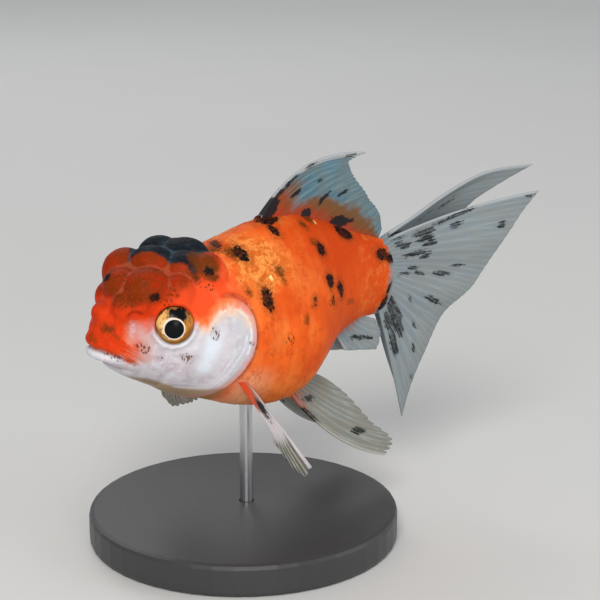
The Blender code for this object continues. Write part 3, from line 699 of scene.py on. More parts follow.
def sculpt(mesh):
    points = pointsOf(mesh) / mm
    edges = edgesOf(mesh)
    points = relax(points, edges, 0.5, skin["softening"])
    s, l, z = points.T
    cheek = ease(3.0, 6.0, np.abs(l)) * (1 - ease(9.4, 12.4, z - 0.12 * (s - 10))) * (1 - ease(30, 34, s))
    points = relax(points, edges, 0.5 * cheek, skin["cheekSoftening"])  # lobes run into the forehead
    movePoints(mesh, points)
    normals = normalsOf(mesh)
    out = np.zeros(len(points))
    for side in (1, -1):
        gap, along = coverEdge(points)
        onSide = ease(1.0, 5.0, side * points[:, 1])
        plate = ease(-7.5, -0.4, gap) * (gap < 0) * ease(-7.5, -1.0, along) * onSide
        lip = (1 - ease(0.0, 0.45, gap)) * (gap >= 0) * ease(-7.5, -1.0, along) * onSide
        thin = hump(gap + 0.9, 0.5) * ease(-4, 1, along) * onSide
        slit = hump(gap - 0.75, 0.45) * ease(-6.0, 0.0, along) * onSide
        out += gillCover["proud"] * (plate + lip) - gillCover["rimGroove"] * thin - gillCover["slit"] * slit
        flip = points * (1, side, 1)
        near = flip[:, 1] > -0.5
        for name, (line, depth, width) in folds.items():
            flat = flatView if name in ("mouth", "lowerLip") else 1
            gap, t = toLine(flip * flat, np.array(line) * flat)
            fade = np.clip(np.minimum(t, 1 - t) * 6 + 0.25, 0, 1)
            out -= depth * hump(gap, width) * fade * near
        out -= nostril["depth"] * hump(toLine(flip, nostril["line"])[0], 0.45) * near
        out += nostril["flapHeight"] * hump(toLine(flip, nostril["flap"])[0], 0.5) * near
    points = points + normals * out[:, None]
    for side in (1, -1):  # sink the sockets and raise the lids
        height, radial = fromEye(points, side)
        outward = eyeFrame(side)[3]
        front = height > -1
        floor = eyeDome(radial) - eyes["socketDepth"]
        sunk = (radial < eyes["radius"] - 0.1) & front
        points = np.where(sunk[:, None], points + outward * np.minimum(floor - height, 0)[:, None], points)
        lid = hump(radial - eyes["radius"] - 0.5, 0.5) * front * eyes["lidRise"]
        crease = hump(radial - eyes["radius"] - 1.8, 0.6) * front * eyes["lidCrease"]
        points = points + outward * (lid - crease)[:, None]
    apart = [np.linalg.norm(points - eyeFrame(side)[0], axis=1) for side in (1, -1)]
    rim = hump(np.abs(np.minimum(*apart) - eyes["radius"] - 0.2), 1.2)
    points = relax(points, edges, 0.25 + 0.25 * rim, 2)
    movePoints(mesh, points)
    return points


whiteTop = (  # the white's upper edge: stations and levels
    (7, 9, 11, 14, 19, 21, 22.6, 24, 25.4, 27.6, 30.3, 33.4, 35.4),
    (4.2, 4.2, 4.3, 4.3, 4.6, 4.6, 2.9, 2.9, 4.8, 6.4, 7.0, 6.0, 3.8),
)
throatTop = ((8, 13.6, 16.9, 20.6, 24.2, 27.2, 30), (-8.6, -9.7, -10.9, -12.4, -13.1, -13.3, -13.2))
# painted highlight: the line of the bright band down the gill cover, seen from the side
coverHighlightLine = ((24.4, 0, -6.8), (24.6, 0, -3.6), (25.6, 0, 0.4), (27.2, 0, 3.4))


def skinFields(fish):  # the markings, painted highlights on the gill cover and painted shade in the mouth, gill slit and nostril, written on skin and scales alike
    s, l, z = fish.T
    gap, along = coverEdge(fish)
    onSide = ease(1, 5, np.abs(l))
    # white: below a line from the mouth corner, under the eye and along the top of the gill cover
    top = blendAlong(*whiteTop, s)
    front = s - blendAlong((-9, -5.4, -2, 0, 2, 4.2, 6), (9.6, 9.3, 8.9, 8.4, 7.9, 8.2, 9.4), z)
    inCover = np.minimum(top - z, -0.5 - gap)
    ahead = np.minimum(np.minimum(top - z, front), np.minimum(26 - s, z + 15.5 + 0.25 * (s - 12)))
    chin = np.minimum(-3.5 - 0.25 * (s - 4) - z, 12 - s)
    white = np.maximum(np.maximum(inCover, ahead), chin)
    mirrored = np.stack([s, np.abs(l), z], -1)
    lip = 2.8 - toLine(mirrored, lipLine("lowerPale")[12:])[0]
    mouthLevel = blendAlong(np.array(mouthLine)[:, 0], np.array(mouthLine)[:, 2], s)
    lip = np.minimum(lip, (mouthLevel - z) * 2.5 + 0.4)
    white = np.maximum(white, lip)
    throat = ease(0.2, -1.0, z - blendAlong(*throatTop, s)) * (1 - ease(30, 34, s)) * ease(8, 12, s)
    lobes = ease(6.6, 12.4, z - 0.27 * (s - 10)) * (1 - ease(31.5, 34.5, s + 0.3 * np.abs(l - 3)))
    capStations = (10, 13, 16, 18, 21, 23.4, 25.4, 28, 31, 33.6)
    leftReach = blendAlong(capStations, (-5, -1.4, 1.2, 3.8, 7.4, 10.4, 7.0, 6.2, 4.6, -2), s)
    rightReach = blendAlong(capStations, (-4, 1.6, 4.6, 6.2, 7.4, 8.4, 8.8, 7.0, 4.4, -2), s)
    cap = np.minimum(leftReach - l, rightReach + l) + (z - 14.5) * 0.15
    gold = hump(np.hypot((s - 42) / 9.5, (z - 14) / 6.5), 1.0) * np.where(l > -20, 1, 0)
    # painted highlights: bright arcs parallel to the gill cover's rim
    highlightArcs = hump(gap + 1.9, 0.4) * ease(-6.5, -3, z) + 0.8 * hump(gap + 3.3, 0.35) * ease(2.5, -1.5, z)
    highlightArcs = (highlightArcs + 0.6 * hump(gap + 4.6, 0.35) * ease(0.0, -4.0, z)) * ease(25, 29, s)
    socket = np.full(len(fish), 9.0)
    for side in (1, -1):
        height, radial = fromEye(fish, side)
        socket = np.where(height > -1, np.minimum(socket, radial), socket)
    lipFold = np.array(folds["lowerLip"][0][:3])
    return {
        "black": markField(fish, blackMarks),
        "brown": markField(fish, brownMarks),
        "dash": markField(fish, dashMarks),
        "gilt": markField(fish, giltMarks),
        "white": white,
        "throat": throat,
        "lobes": lobes,
        "cap": cap,
        "gold": gold,
        # painted highlight: a bright band down the gill cover
        "coverHighlight": hump(toLine(fish * flatView, coverHighlightLine)[0], 2.5) * ease(6.0, -1.0, z),
        "highlightArcs": highlightArcs,
        "rim": hump(gap + 0.6, 1.0) * ease(-3, 2, along) * onSide,
        "socket": socket,
        # painted shade: dark lines in the gill slit, along the mouth, under the lower lip and in the
        # nostril
        "slit": hump(gap - 0.75, 0.5) * onSide * ease(-6, 0, along),
        "mouth": np.maximum(
            hump(toLine(mirrored * flatView, np.array(mouthLine) * flatView)[0], 0.3),
            0.7 * hump(toLine(mirrored * flatView, lipFold * flatView)[0], 0.35),
        ),
        "nostril": hump(toLine(mirrored, nostril["line"])[0], 0.55),
        "fish": fish,
    }


def creaseField(mesh, points):  # above 0 in hollows, below 0 on crests
    edges = edgesOf(mesh)
    bend = relax(points, edges, 1.0, 1) - points
    raw = np.einsum("ij,ij->i", bend, normalsOf(mesh))[:, None]
    return relax(raw * np.ones(3), edges, 0.6, 3)[:, 0]


skinMesh = softForm()
fishPoints = sculpt(skinMesh)
for name, values in skinFields(fishPoints).items():
    writeField(skinMesh, name, values)
writeField(skinMesh, "crease", creaseField(skinMesh, fishPoints))
movePoints(skinMesh, place(fishPoints))
skinMesh.flip_normals()  # l runs to the left, so placing it mirrors the mesh
skinMesh.shade_smooth()
skinPiece = objectFrom("skin", skinMesh)
print("skin:", len(skinMesh.vertices), "points")


# Eyes.


def eyeMesh(side):
    centre, backward, upward, outward = eyeFrame(side)
    turn = np.linspace(0, 2 * math.pi, eyes["sides"], endpoint=False)
    iris, rim = eyes["irisRadius"], eyes["radius"]
    radial = np.concatenate([np.linspace(0.12, iris - 0.06, 30), np.linspace(iris, rim - 0.02, 7)])
    heights = eyeDome(radial)
    behind = np.linspace(0.1, -1.45, 14)
    radial = np.concatenate([radial, rim * np.cos(behind)])[:, None, None]
    heights = np.concatenate([heights, rim * np.sin(behind)])[:, None, None]
    circle = np.cos(turn)[:, None] * backward + np.sin(turn)[:, None] * upward
    points = (centre + radial * circle + heights * outward).reshape(-1, 3)
    points = np.concatenate([points, [centre + eyeDome(0.0) * outward, centre - rim * outward]])
    front, back = len(points) - 2, len(points) - 1
    ring = np.arange(front).reshape(-1, len(turn))
    after = np.roll(ring, -1, axis=1)
    faces = np.stack([ring[:-1], after[:-1], after[1:], ring[1:]], -1).reshape(-1, 4).tolist()
    for a, b, c, d in zip(ring[0], after[0], ring[-1], after[-1]):
        faces += [(b, a, front), (c, d, back)]
    mesh = meshFrom("eye", place(points), faces)
    local = points - centre
    writeField(mesh, "eyePlace", np.stack([local @ backward, local @ upward, local @ outward], -1))
    faceOut(mesh)
    mesh.shade_smooth()
    return mesh


eyePieces = [objectFrom("eyeLeft", eyeMesh(1)), objectFrom("eyeRight", eyeMesh(-1))]
print("eyes:", len(eyePieces))

# Fins.

# Marks on the fins, as on the skin; the depth keeps each to its own lobe.
tailMarks = {
    "upperEdge": (88.6, -0.4, 12.6, 2.8, 0.8, 6, 3),
    "clusterTop": (94.6, 3.4, 13.5, 2.3, 0.8, 18, 3),
    "clusterTopRear": (96.8, 4.2, 14.0, 1.5, 0.7, 20, 3),
    "clusterMid": (95.6, 4.0, 12.0, 2.0, 0.6, 20, 3),
    "clusterLow": (96.9, 4.4, 10.9, 1.9, 0.7, 20, 3),
    "base": (90.3, 2.6, 10.4, 1.6, 0.8, 14, 3),
    "baseFront": (89.0, 1.8, 11.0, 1.2, 0.5, 14, 3),
    "longDash": (93.6, 3.8, 8.4, 3.0, 0.6, 14, 3),
    "underDash": (95.8, 4.4, 7.6, 1.4, 0.5, 12, 3),
    "midA": (92.9, 3.4, 4.5, 1.1, 0.5, 6, 3),
    "midB": (91.0, 2.7, 3.0, 1.1, 0.35, 4, 3),
    "midC": (94.7, 4.0, 3.0, 1.1, 0.35, -10, 3),
    "midD": (100.2, 5.5, 2.6, 2.0, 0.65, -2, 3),
    "midE": (104.7, 6.9, 4.6, 0.9, 0.25, 4, 3),
    "leaf": (98.4, 4.8, -4.2, 2.9, 0.6, -27, 3),
    "upperSpot": (103.7, 5.7, 14.8, 2.0, 0.8, 24, 3),
    "tipFaint": (116.2, 9.0, 14.7, 1.2, 0.5, 15, 4),
    "tipDots": (124.5, 9.0, 21.6, 0.9, 0.3, 12, 4),
    "edgeStreak": (103.2, 2.5, 17.2, 5.6, 0.55, 22, 6),
    "lowBase": (87.9, 2.0, -5.6, 3.0, 1.2, -74, 3),
    "lowBaseRear": (89.4, 2.6, -7.4, 3.0, 0.9, -72, 3),
    "lowRear": (90.0, 2.9, -11.0, 2.8, 1.0, -76, 3),
    "lowFront": (86.8, 2.0, -9.6, 2.8, 1.0, -78, 3),
    "lowMid": (88.4, 2.4, -10.2, 2.6, 0.8, -76, 3),
    "lowFoot": (88.2, 2.2, -15.0, 4.2, 1.1, -78, 3),
    "dropA": (92.6, 3.4, -3.6, 0.9, 0.4, -60, 3),
    "dropB": (93.9, 3.8, -10.4, 0.9, 0.3, -66, 3),
    "dropC": (94.4, 4.1, -17.6, 0.9, 0.4, -72, 3),
    "dropD": (94.4, 4.3, -25.0, 0.7, 0.3, -72, 3),
    "rightBase": (92.0, -3.4, 8.6, 2.4, 0.7, 16, 3),
    "rightMid": (98.0, -5.0, 3.0, 1.8, 0.6, 4, 3),
    "rightLow": (90.5, -4.0, -9.0, 2.8, 0.8, -72, 3),
}
dorsalMarks = {
    "origin": (50.8, 0, 24.0, 3.4, 2.1, 50, 3),
    "spineLow": (53.4, 0, 27.6, 1.7, 0.55, 38, 3),
    "spineMid": (55.8, 0, 29.5, 1.5, 0.5, 36, 3),
    "spineHigh": (57.6, 0, 30.7, 1.3, 0.45, 34, 3),
    "spineTop": (62.3, 0, 33.4, 1.3, 0.35, 18, 3),
    "spineTip": (74.0, 0, 34.6, 0.9, 0.25, 10, 3),
    "dashFront": (58.6, 0, 27.0, 1.5, 0.5, 24, 3),
    "dashMid": (67.0, 0, 24.9, 1.7, 0.5, 36, 3),
    "dashMidLow": (66.0, 0, 23.8, 1.1, 0.35, 36, 3),
    "dashRear": (72.2, 0, 25.4, 1.3, 0.3, 20, 3),
    "fleck": (65.3, 0, 29.4, 0.7, 0.35, 20, 3),
    "saddle": (61.6, 0, 21.4, 1.6, 1.3, 20, 3),
    "rear": (71.6, 0, 18.4, 3.0, 1.4, -10, 3),
    "rearFlecks": (75.0, 0, 18.0, 1.2, 0.5, 0, 3),
}
pelvicMarks = {
    "root": (60.4, 6.2, -24.0, 1.5, 0.75, -4, 30),
    "leading": (59.8, 6.7, -27.8, 2.9, 0.8, -42, 30),
    "tip": (74.2, 9.2, -34.2, 2.1, 0.8, -14, 30),
}
pectoralMarks = {"leading": (40.0, 15.4, -19.8, 3.0, 0.55, -58, 30)}
analMarks = {
    "streak": (78.0, 3.2, -11.9, 3.0, 0.55, -8, 2.5),
    "far": (79.4, -3.2, -15.0, 1.9, 1.2, -30, 2.4),
}

# What fins share: thickness in mm at the root, beyond it and at the edge, the height of a ray over
# the membrane, where rays fork, how far the edge is notched between rays, how far the membrane
# ripples and its top edge waves, how high orange climbs from the root, how wide the first ray is
# and from where it is pale.
finShare = {
    "root": 1.6,
    "middle": 0.5,
    "edge": 0.3,
    "ridge": 0.12,
    "branch": 0.5,
    "notch": 0.03,
    "ripple": 0.0,
    "wave": 0.0,
    "orange": ((0, 1), (0.1, 0.1)),
    "spine": 0.03,
    "paleFrom": (0.02, 0.1),
}
tailShare = {
    "tone": "tail", "count": 19, "columns": 228, "rows": 84, "scallops": 30, "ridge": 0.045,
    "branch": 0.4, "notch": 0.006, "ripple": 1.0, "orange": ((0, 1), (-0.12, -0.12)),
    "spine": 0.012, "marks": tailMarks,
}
pelvicShare = {
    "tone": "paired", "count": 9, "columns": 126, "rows": 64, "scallops": 14, "middle": 0.55,
    "ripple": 0.35, "orange": ((0, 0.2, 0.6, 1), (0.2, 0.1, 0.0, -0.04)), "paleFrom": (0.25, 0.4),
    "marks": pelvicMarks,
}
analShare = {
    "tone": "tail", "count": 7, "columns": 84, "rows": 36, "scallops": 7, "root": 1.5, "ridge": 0.13,
    "notch": 0.04, "ripple": 0.2, "marks": analMarks,
}
fins = {
    "dorsalFin": {
        "node": "dorsal_fin", "rays": "dorsal", "tone": "dorsal", "count": 17, "columns": 204,
        "rows": 64, "scallops": 26, "root": 1.5, "ridge": 0.09, "branch": 0.55, "notch": 0.02,
        "ripple": 0.5, "spine": 0.035, "pale": 0.09, "marks": dorsalMarks,
        "orange": ((0, 0.1, 0.2, 0.34, 0.5, 0.75, 1), (0.24, 0.36, 0.5, 0.3, 0.6, 0.7, 0.5)),
    },
    "tailFinLeft": {**tailShare, "node": "tail_fin_left", "rays": "tailLeft"},
    "tailFinRight": {**tailShare, "node": "tail_fin_right", "rays": "tailRight", "wave": 1.3},
    "pectoralFinLeft": {
        "node": "pectoral_fin_left", "rays": "pectoralLeft", "tone": "pectoral", "count": 7,
        "columns": 126, "rows": 60, "scallops": 7, "root": 1.4, "middle": 0.55, "ridge": 0.2,
        "branch": 0.96, "orange": ((0, 0.3, 0.6, 1), (0.24, 0.3, 0.4, 0.44)), "spine": 0.05, "pale": 0.1,
        "paleFrom": (0.15, 0.3), "stalk": (0.32, 0.42, 0.74, 0.6),
        "waist": ((0, 0.12, 0.5, 0.8, 1), (0.6, 0.4, 0.42, 0.85, 1)), "marks": pectoralMarks,
    },
    "pectoralFinRight": {
        "node": "pectoral_fin_right", "rays": "pectoralRight", "tone": "pectoral", "count": 13,
        "columns": 130, "rows": 50, "scallops": 9, "branch": 0.55,
        "orange": ((0, 1), (0.16, 0.26)), "spine": 0.04, "marks": {},
    },
    "pelvicFinLeft": {**pelvicShare, "node": "pelvic_fin_left", "rays": "pelvic", "notch": 0.05},
    "pelvicFinRight": {
        **pelvicShare, "node": "pelvic_fin_right", "rays": "pelvicRight", "notch": 0.035
    },
    "analFinLeft": {**analShare, "node": "anal_fin_left", "rays": "anal"},
    "analFinRight": {**analShare, "node": "anal_fin_right", "rays": "analRight"},
}


def rayPattern(fin, u, v):  # 1 on a ray's crest, 0 between rays; each ray forks once
    cell = u * fin["count"]
    cell = cell - np.floor(cell) - 0.5
    fork = 0.25 * ease(fin["branch"], 1.0, v)
    width = 0.17 - 0.07 * ease(fin["branch"], 1.0, v)
    return np.maximum(hump(cell - fork, width), hump(cell + fork, width))


def finMesh(name, seed):
    fin = {**finShare, **fins[name]}
    columns, rows = fin["columns"], fin["rows"]
    u = np.linspace(0, 1, columns + 1)
    dice = np.random.default_rng(seed)
    ragged = dice.uniform(-1, 1, fin["count"] + 2)
    uneven = np.interp(u * fin["count"], np.arange(fin["count"] + 2), ragged)
    scallop = np.abs(np.sin(math.pi * u * fin["scallops"])) ** 0.6
    reach = 1 - fin["notch"] * (1 - scallop) + fin["notch"] * 0.35 * uneven
    reach = np.where(u < fin["spine"], 1.0, reach)
    v = np.linspace(0, 1, rows + 1) ** 0.9
    uu, vv = np.meshgrid(u, v, indexing="ij")
    vv = vv * reach[:, None]
    waist = blendAlong(*fin["waist"], vv) if "waist" in fin else 1.0  # a narrow stalk widening to a fan
    sheet = membrane(finRays[fin["rays"]], uu * waist, vv)
    sheet[..., 2] += fin["wave"] * (hump(vv - 0.72, 0.2) - 0.7 * hump(vv - 0.25, 0.16)) * (1 - uu)
    waves = np.sin(uu * 9.5 + 2.2 * vv + seed) + 0.5 * np.sin(uu * 21 + 1.3 * seed + 3 * vv)
    ripple = fin["ripple"] * vv**1.6 * waves * (ease(0.0, 0.08, uu) * 0.5 + 0.5)
    sheet[..., 1] += ripple * 0.7
    normal = np.cross(np.gradient(sheet, axis=0), np.gradient(sheet, axis=1))
    normal /= np.maximum(np.linalg.norm(normal, axis=-1, keepdims=True), 1e-9)
    crest = rayPattern(fin, uu, vv)
    thick = fin["middle"] + (fin["root"] - fin["middle"]) * (1 - ease(0.0, 0.2, vv))
    thick = thick + (fin["edge"] - fin["middle"]) * ease(0.3, 1.0, vv)
    stout = 0.25 * hump(uu, 0.04) * (1 - ease(0.6, 1.0, vv))  # the stiff leading ray
    thick = thick + (fin["ridge"] * crest * (1 - 0.5 * vv) + stout) * 2
    edge = np.minimum(np.minimum(uu, 1 - uu) * columns, (1 - vv / reach[:, None]) * rows)
    thick = thick * (0.45 + 0.55 * ease(0, 2.5, edge))
    half = normal * thick[..., None] / 2
    points = np.concatenate([(sheet + half).reshape(-1, 3), (sheet - half).reshape(-1, 3)])
    mesh = meshFrom(name, place(points), shellFaces(columns, rows))
    stiff = 1 - ease(0.6, 1.3, uu / fin.get("pale", fin["spine"]))
    stiff = stiff * ease(*fin["paleFrom"], vv)
    if "stalk" in fin:
        rise, full, end, fade = fin["stalk"]
        stiff = np.maximum(stiff, ease(rise, full, vv) * ease(end, fade, vv))
    rayPlace = np.stack([uu * fin["count"], vv, 0 * uu], -1).reshape(-1, 3)
    orange = blendAlong(*fin["orange"], uu) - vv
    for field, values in {"orange": orange, "crest": crest, "reach": vv, "spine": stiff}.items():
        writeField(mesh, field, np.tile(values.ravel(), 2))
    writeField(mesh, "rayPlace", np.tile(rayPlace, (2, 1)))
    writeField(mesh, "black", markField(points, fin["marks"]))
    faceOut(mesh)
    mesh.shade_smooth()
    return mesh


finPieces = {name: objectFrom(name, finMesh(name, k)) for k, name in enumerate(fins)}
print("fins:", len(finPieces))

# Scales.

scales = {
    "front": 35.0,
    "back": 85.0,
    "rowsPerSide": 17,
    "longStep": 2.5,
    "shortStep": 1.3,
    "overlap": 1.5,
    "spread": 1.16,
    "rise": 0.15,
    "sunk": 0.04,
    "under": 0.16,
    "sizeVariation": 0.06,
    "seed": 3,
    "plateColumns": 5,
    "plateRows": 6,
    "bakePatch": 0.003,
    "clearOfCover": 1.6,
    "clearOfFins": 1.7,
    "clearOfRod": 3.4,
    "rodStation": 46,
}


def plateMesh():  # one scale, 1 long and 1 wide, its free edge round and at +X
    columns, rows = scales["plateColumns"], scales["plateRows"]
    points = []
    for layer in (1, 0):
        for i in range(columns + 1):
            along = i / columns
            for k in range(rows + 1):
                across = 2 * k / rows - 1
                half = 0.5 * math.sin(math.pi * (0.26 + 0.36 * along)) ** 0.5
                x = -0.5 + along * (1 - 0.3 * across**2)
                lift = along**1.3 * (1 - 0.45 * across**2)
                points.append((x, half * across, lift if layer else -1.0))
    points = np.array(points)
    mesh = meshFrom("plate", points * (1, 1, 0.1), shellFaces(columns, rows))
    writeField(mesh, "patch", points)
    faceOut(mesh)
    return mesh


def scaleRoots():  # fish places of the scales, their sizes and their places on the unwrapped body
    found = []
    turn = np.linspace(math.pi / 2, -math.pi / 2, 241)
    s, odd = scales["front"], False
    while s < scales["back"]:
        ring = bodySurface(s, turn)
        arc = np.concatenate([[0], np.cumsum(np.linalg.norm(np.diff(ring, axis=0), axis=1))])
        spacing = arc[-1] / scales["rowsPerSide"]
        marks = (np.arange(scales["rowsPerSide"]) + (0.5 if odd else 0.0)) * spacing
        step = scales["shortStep"] + (scales["longStep"] - scales["shortStep"]) * min(1, arc[-1] / 62)
        for side in (1, -1):
            for at in marks:
                if at == 0 and side < 0:
                    continue
                place = [np.interp(at, arc, ring[:, axis]) for axis in range(3)]
                place[1] *= side
                unwrap = (0.05 + 0.9 * s / 90, 0.5 + side * 0.45 * at / 70)
                found.append((*place, step * scales["overlap"], spacing * scales["spread"], *unwrap))
        s += step
        odd = not odd
    return np.array(found)


def scaleTree():
    tree = bpy.data.node_groups.new("scaleRows", "GeometryNodeTree")
    face = tree.interface
    for name, kind in (
        ("Geometry", "Geometry"),
        ("Plate", "Object"),
        ("Rise", "Float"),
        ("Size Variation", "Float"),
        ("Seed", "Int"),
        ("Finish", "Material"),
    ):
        face.new_socket(name, in_out="INPUT", socket_type="NodeSocket" + kind)
    face.new_socket("Geometry", in_out="OUTPUT", socket_type="NodeSocketGeometry")

    def add(kind, settings, inputs, output=0):
        made = tree.nodes.new(kind)
        for key, value in settings.items():
            setattr(made, key, value)
        for key, value in inputs.items():
            if isinstance(value, bpy.types.NodeSocket):
                tree.links.new(value, made.inputs[key])
            else:
                made.inputs[key].default_value = value
        return made.outputs[output]

    def field(name):
        return add("GeometryNodeInputNamedAttribute", {"data_type": "FLOAT_VECTOR"}, {"Name": name})

    given = tree.nodes.new("NodeGroupInput").outputs
    plate = add("GeometryNodeObjectInfo", {}, {"Object": given["Plate"]}, "Geometry")
    align = "FunctionNodeAlignRotationToVector"
    turn = add(align, {"axis": "Z"}, {"Vector": field("outward")})
    turn = add(align, {"axis": "X", "pivot_axis": "Z"}, {"Rotation": turn, "Vector": field("tailward")})
    vary = add("FunctionNodeRandomValue", {"data_type": "FLOAT"}, {"Seed": given["Seed"]}, 1)
    sizes = {0: vary, 1: given["Size Variation"], 2: 1.0}
    spread = add("ShaderNodeMath", {"operation": "MULTIPLY_ADD"}, sizes)
    flat = add("ShaderNodeVectorMath", {"operation": "SCALE"}, {0: field("plateSize"), "Scale": spread})
    lift = add("ShaderNodeCombineXYZ", {}, {"Z": given["Rise"]})
    size = add("ShaderNodeVectorMath", {"operation": "ADD"}, {0: flat, 1: lift})
    laid = {"Points": given["Geometry"], "Instance": plate, "Rotation": turn, "Scale": size}
    rows = add("GeometryNodeInstanceOnPoints", {}, laid)
    real = add("GeometryNodeRealizeInstances", {}, {"Geometry": rows})
    dressed = add("GeometryNodeSetMaterial", {}, {"Geometry": real, "Material": given["Finish"]})
    tree.links.new(dressed, tree.nodes.new("NodeGroupOutput").inputs[0])
    return tree


def setInput(modifier, name, value):
    for item in modifier.node_group.interface.items_tree:
        if item.item_type == "SOCKET" and item.in_out == "INPUT" and item.name == name:
            modifier[item.identifier] = value


def onSurface(surface, points):  # the nearest places on the skin, and its directions there
    found = [surface.find_nearest(Vector(point)) for point in points]
    return np.array([hit[0] for hit in found]), np.array([hit[1] for hit in found])


def scalePiece(paint):
    roots = scaleRoots()
    fish = roots[:, :3]
    keep = (coverEdge(fish)[0] > scales["clearOfCover"]) | (np.abs(fish[:, 1]) < 2)
    for rays in finRays.values():
        line = membrane(rays, np.linspace(0, 1, 30), 0.0)
        near = np.min(np.linalg.norm(fish[:, None] - line[None], axis=-1), axis=1)
        keep &= near > scales["clearOfFins"]
    fromRod = np.hypot(fish[:, 0] - scales["rodStation"], fish[:, 1])
    keep &= (fromRod > scales["clearOfRod"]) | (fish[:, 2] > 0)
    roots, fish = roots[keep], fish[keep]
    surface = BVHTree.FromPolygons(
        [tuple(p) for p in pointsOf(skinMesh)], [tuple(f.vertices) for f in skinMesh.polygons]
    )
    onSkin, outward = onSurface(surface, place(fish))
    tailward = place(fish + (1.0, 0, 0)) - place(fish)
    tailward = tailward - np.einsum("ij,ij->i", tailward, outward)[:, None] * outward
    cloud = meshFrom("scales", onSkin, [])
    writeField(cloud, "outward", outward)
    writeField(cloud, "tailward", tailward)
    writeField(cloud, "plateSize", np.stack([roots[:, 3], roots[:, 4], 0 * roots[:, 3]], -1) * mm)
    writeField(cloud, "rootPlace", np.stack([roots[:, 5], roots[:, 6], 0 * roots[:, 5]], -1))
    source = objectFrom("scaleRoots", cloud)
    plate = objectFrom("plate", plateMesh())
    rows = source.modifiers.new("Scale rows", "NODES")
    rows.node_group = scaleTree()
    given = {"Plate": plate, "Rise": scales["rise"] * mm, "Size Variation": scales["sizeVariation"]}
    for name, value in {**given, "Seed": scales["seed"], "Finish": paint.material}.items():
        setInput(rows, name, value)
    depsgraph = bpy.context.evaluated_depsgraph_get()
    mesh = bpy.data.meshes.new_from_object(source.evaluated_get(depsgraph))
    bpy.data.objects.remove(source, do_unlink=True)
    bpy.data.objects.remove(plate, do_unlink=True)
    root = readField(mesh.attributes["rootPlace"].data, "vector", 3)
    patch = readField(mesh.attributes["patch"].data, "vector", 3)
    lift = np.where(patch[:, 2] < 0, -scales["under"], patch[:, 2] * scales["rise"] - scales["sunk"]) * mm
    spots, normals = onSurface(surface, pointsOf(mesh))
    laid = spots + normals * lift[:, None]  # every plate follows the skin under it
    movePoints(mesh, laid)
    onFish = unplace(laid)
    for name, values in skinFields(onFish).items():
        writeField(mesh, name, values)
    writeField(mesh, "crease", 0 * onFish[:, 0])
    writeField(mesh, "scaleEdge", ease(0.55, 1.0, np.clip(patch[:, 2], 0, 1)))
    flat = root[:, :2] + patch[:, :2] * scales["bakePatch"]
    corners = readField(mesh.loops, "vertex_index", 1, int)[:, 0]
    mesh.uv_layers.new(name="OFBake").data.foreach_set("uv", flat[corners].ravel())
    mesh.name = "scales"
    mesh.shade_smooth()
    mesh.set_sharp_from_angle(angle=math.radians(50))
    return objectFrom("scales", mesh), len(roots)


# Finishes.

skinColours = {
    "orange": (0.88, 0.135, 0.018),
    "deepOrange": (0.60, 0.060, 0.007),
    "belly": (0.84, 0.22, 0.045),
    "amber": (0.86, 0.25, 0.055),
    "rust": (0.50, 0.055, 0.008),
    "face": (0.66, 0.040, 0.006),
    "faceDeep": (0.46, 0.024, 0.005),
    "flare": (0.90, 0.085, 0.022),
    "salmon": (0.90, 0.22, 0.10),
    "goldLight": (0.94, 0.33, 0.075),
    "goldDark": (0.58, 0.13, 0.018),
    "lobeRed": (0.32, 0.020, 0.002),
    "lobeBrown": (0.17, 0.025, 0.002),
    # pale lobe tone: dust flecks, and painted highlight along the hollows between lobes
    "lobeFleckAndHighlight": (0.42, 0.12, 0.06),
    "cap": (0.001, 0.012, 0.018),
    # pale cap tone: patches, and painted highlight along the cap's hollows
    "capPaleAndHighlight": (0.030, 0.068, 0.088),
    "pearl": (0.62, 0.59, 0.63),
    "cream": (0.86, 0.58, 0.36),
    "blush": (0.56, 0.29, 0.25),
    "pearlGrey": (0.44, 0.46, 0.50),
    # bright bluish pearl: pale spots and lip, and painted highlights on the gill cover and the lower lid
    "pearlBright": (0.76, 0.83, 0.92),
    "lilac": (0.48, 0.37, 0.43),
    "veil": (0.85, 0.34, 0.10),
    "throat": (0.30, 0.19, 0.075),
    "rimPink": (0.62, 0.30, 0.31),
    "gilt": (1.0, 0.72, 0.26),
    "finRoot": (0.27, 0.31, 0.335),
    "smudge": (0.20, 0.15, 0.14),
    "brown": (0.13, 0.035, 0.006),
    "black": (0.008, 0.006, 0.006),
    # dark red-brown for painted shade in the mouth, gill slit, nostril and eye socket
    "mouth": (0.10, 0.015, 0.008),
}
skinGloss = {
    "IOR": 1.4,
    "Subsurface Weight": 0.1,
    "Subsurface Radius": (1.0, 0.3, 0.12),
    "Subsurface Scale": 0.0012,
    "Coat Roughness": 0.22,
    "Specular IOR Level": 0.05,
    "Sheen Weight": 0.045,
    "Sheen Roughness": 0.25,
    "Sheen Tint": (0.62, 0.72, 0.78, 1.0),
}


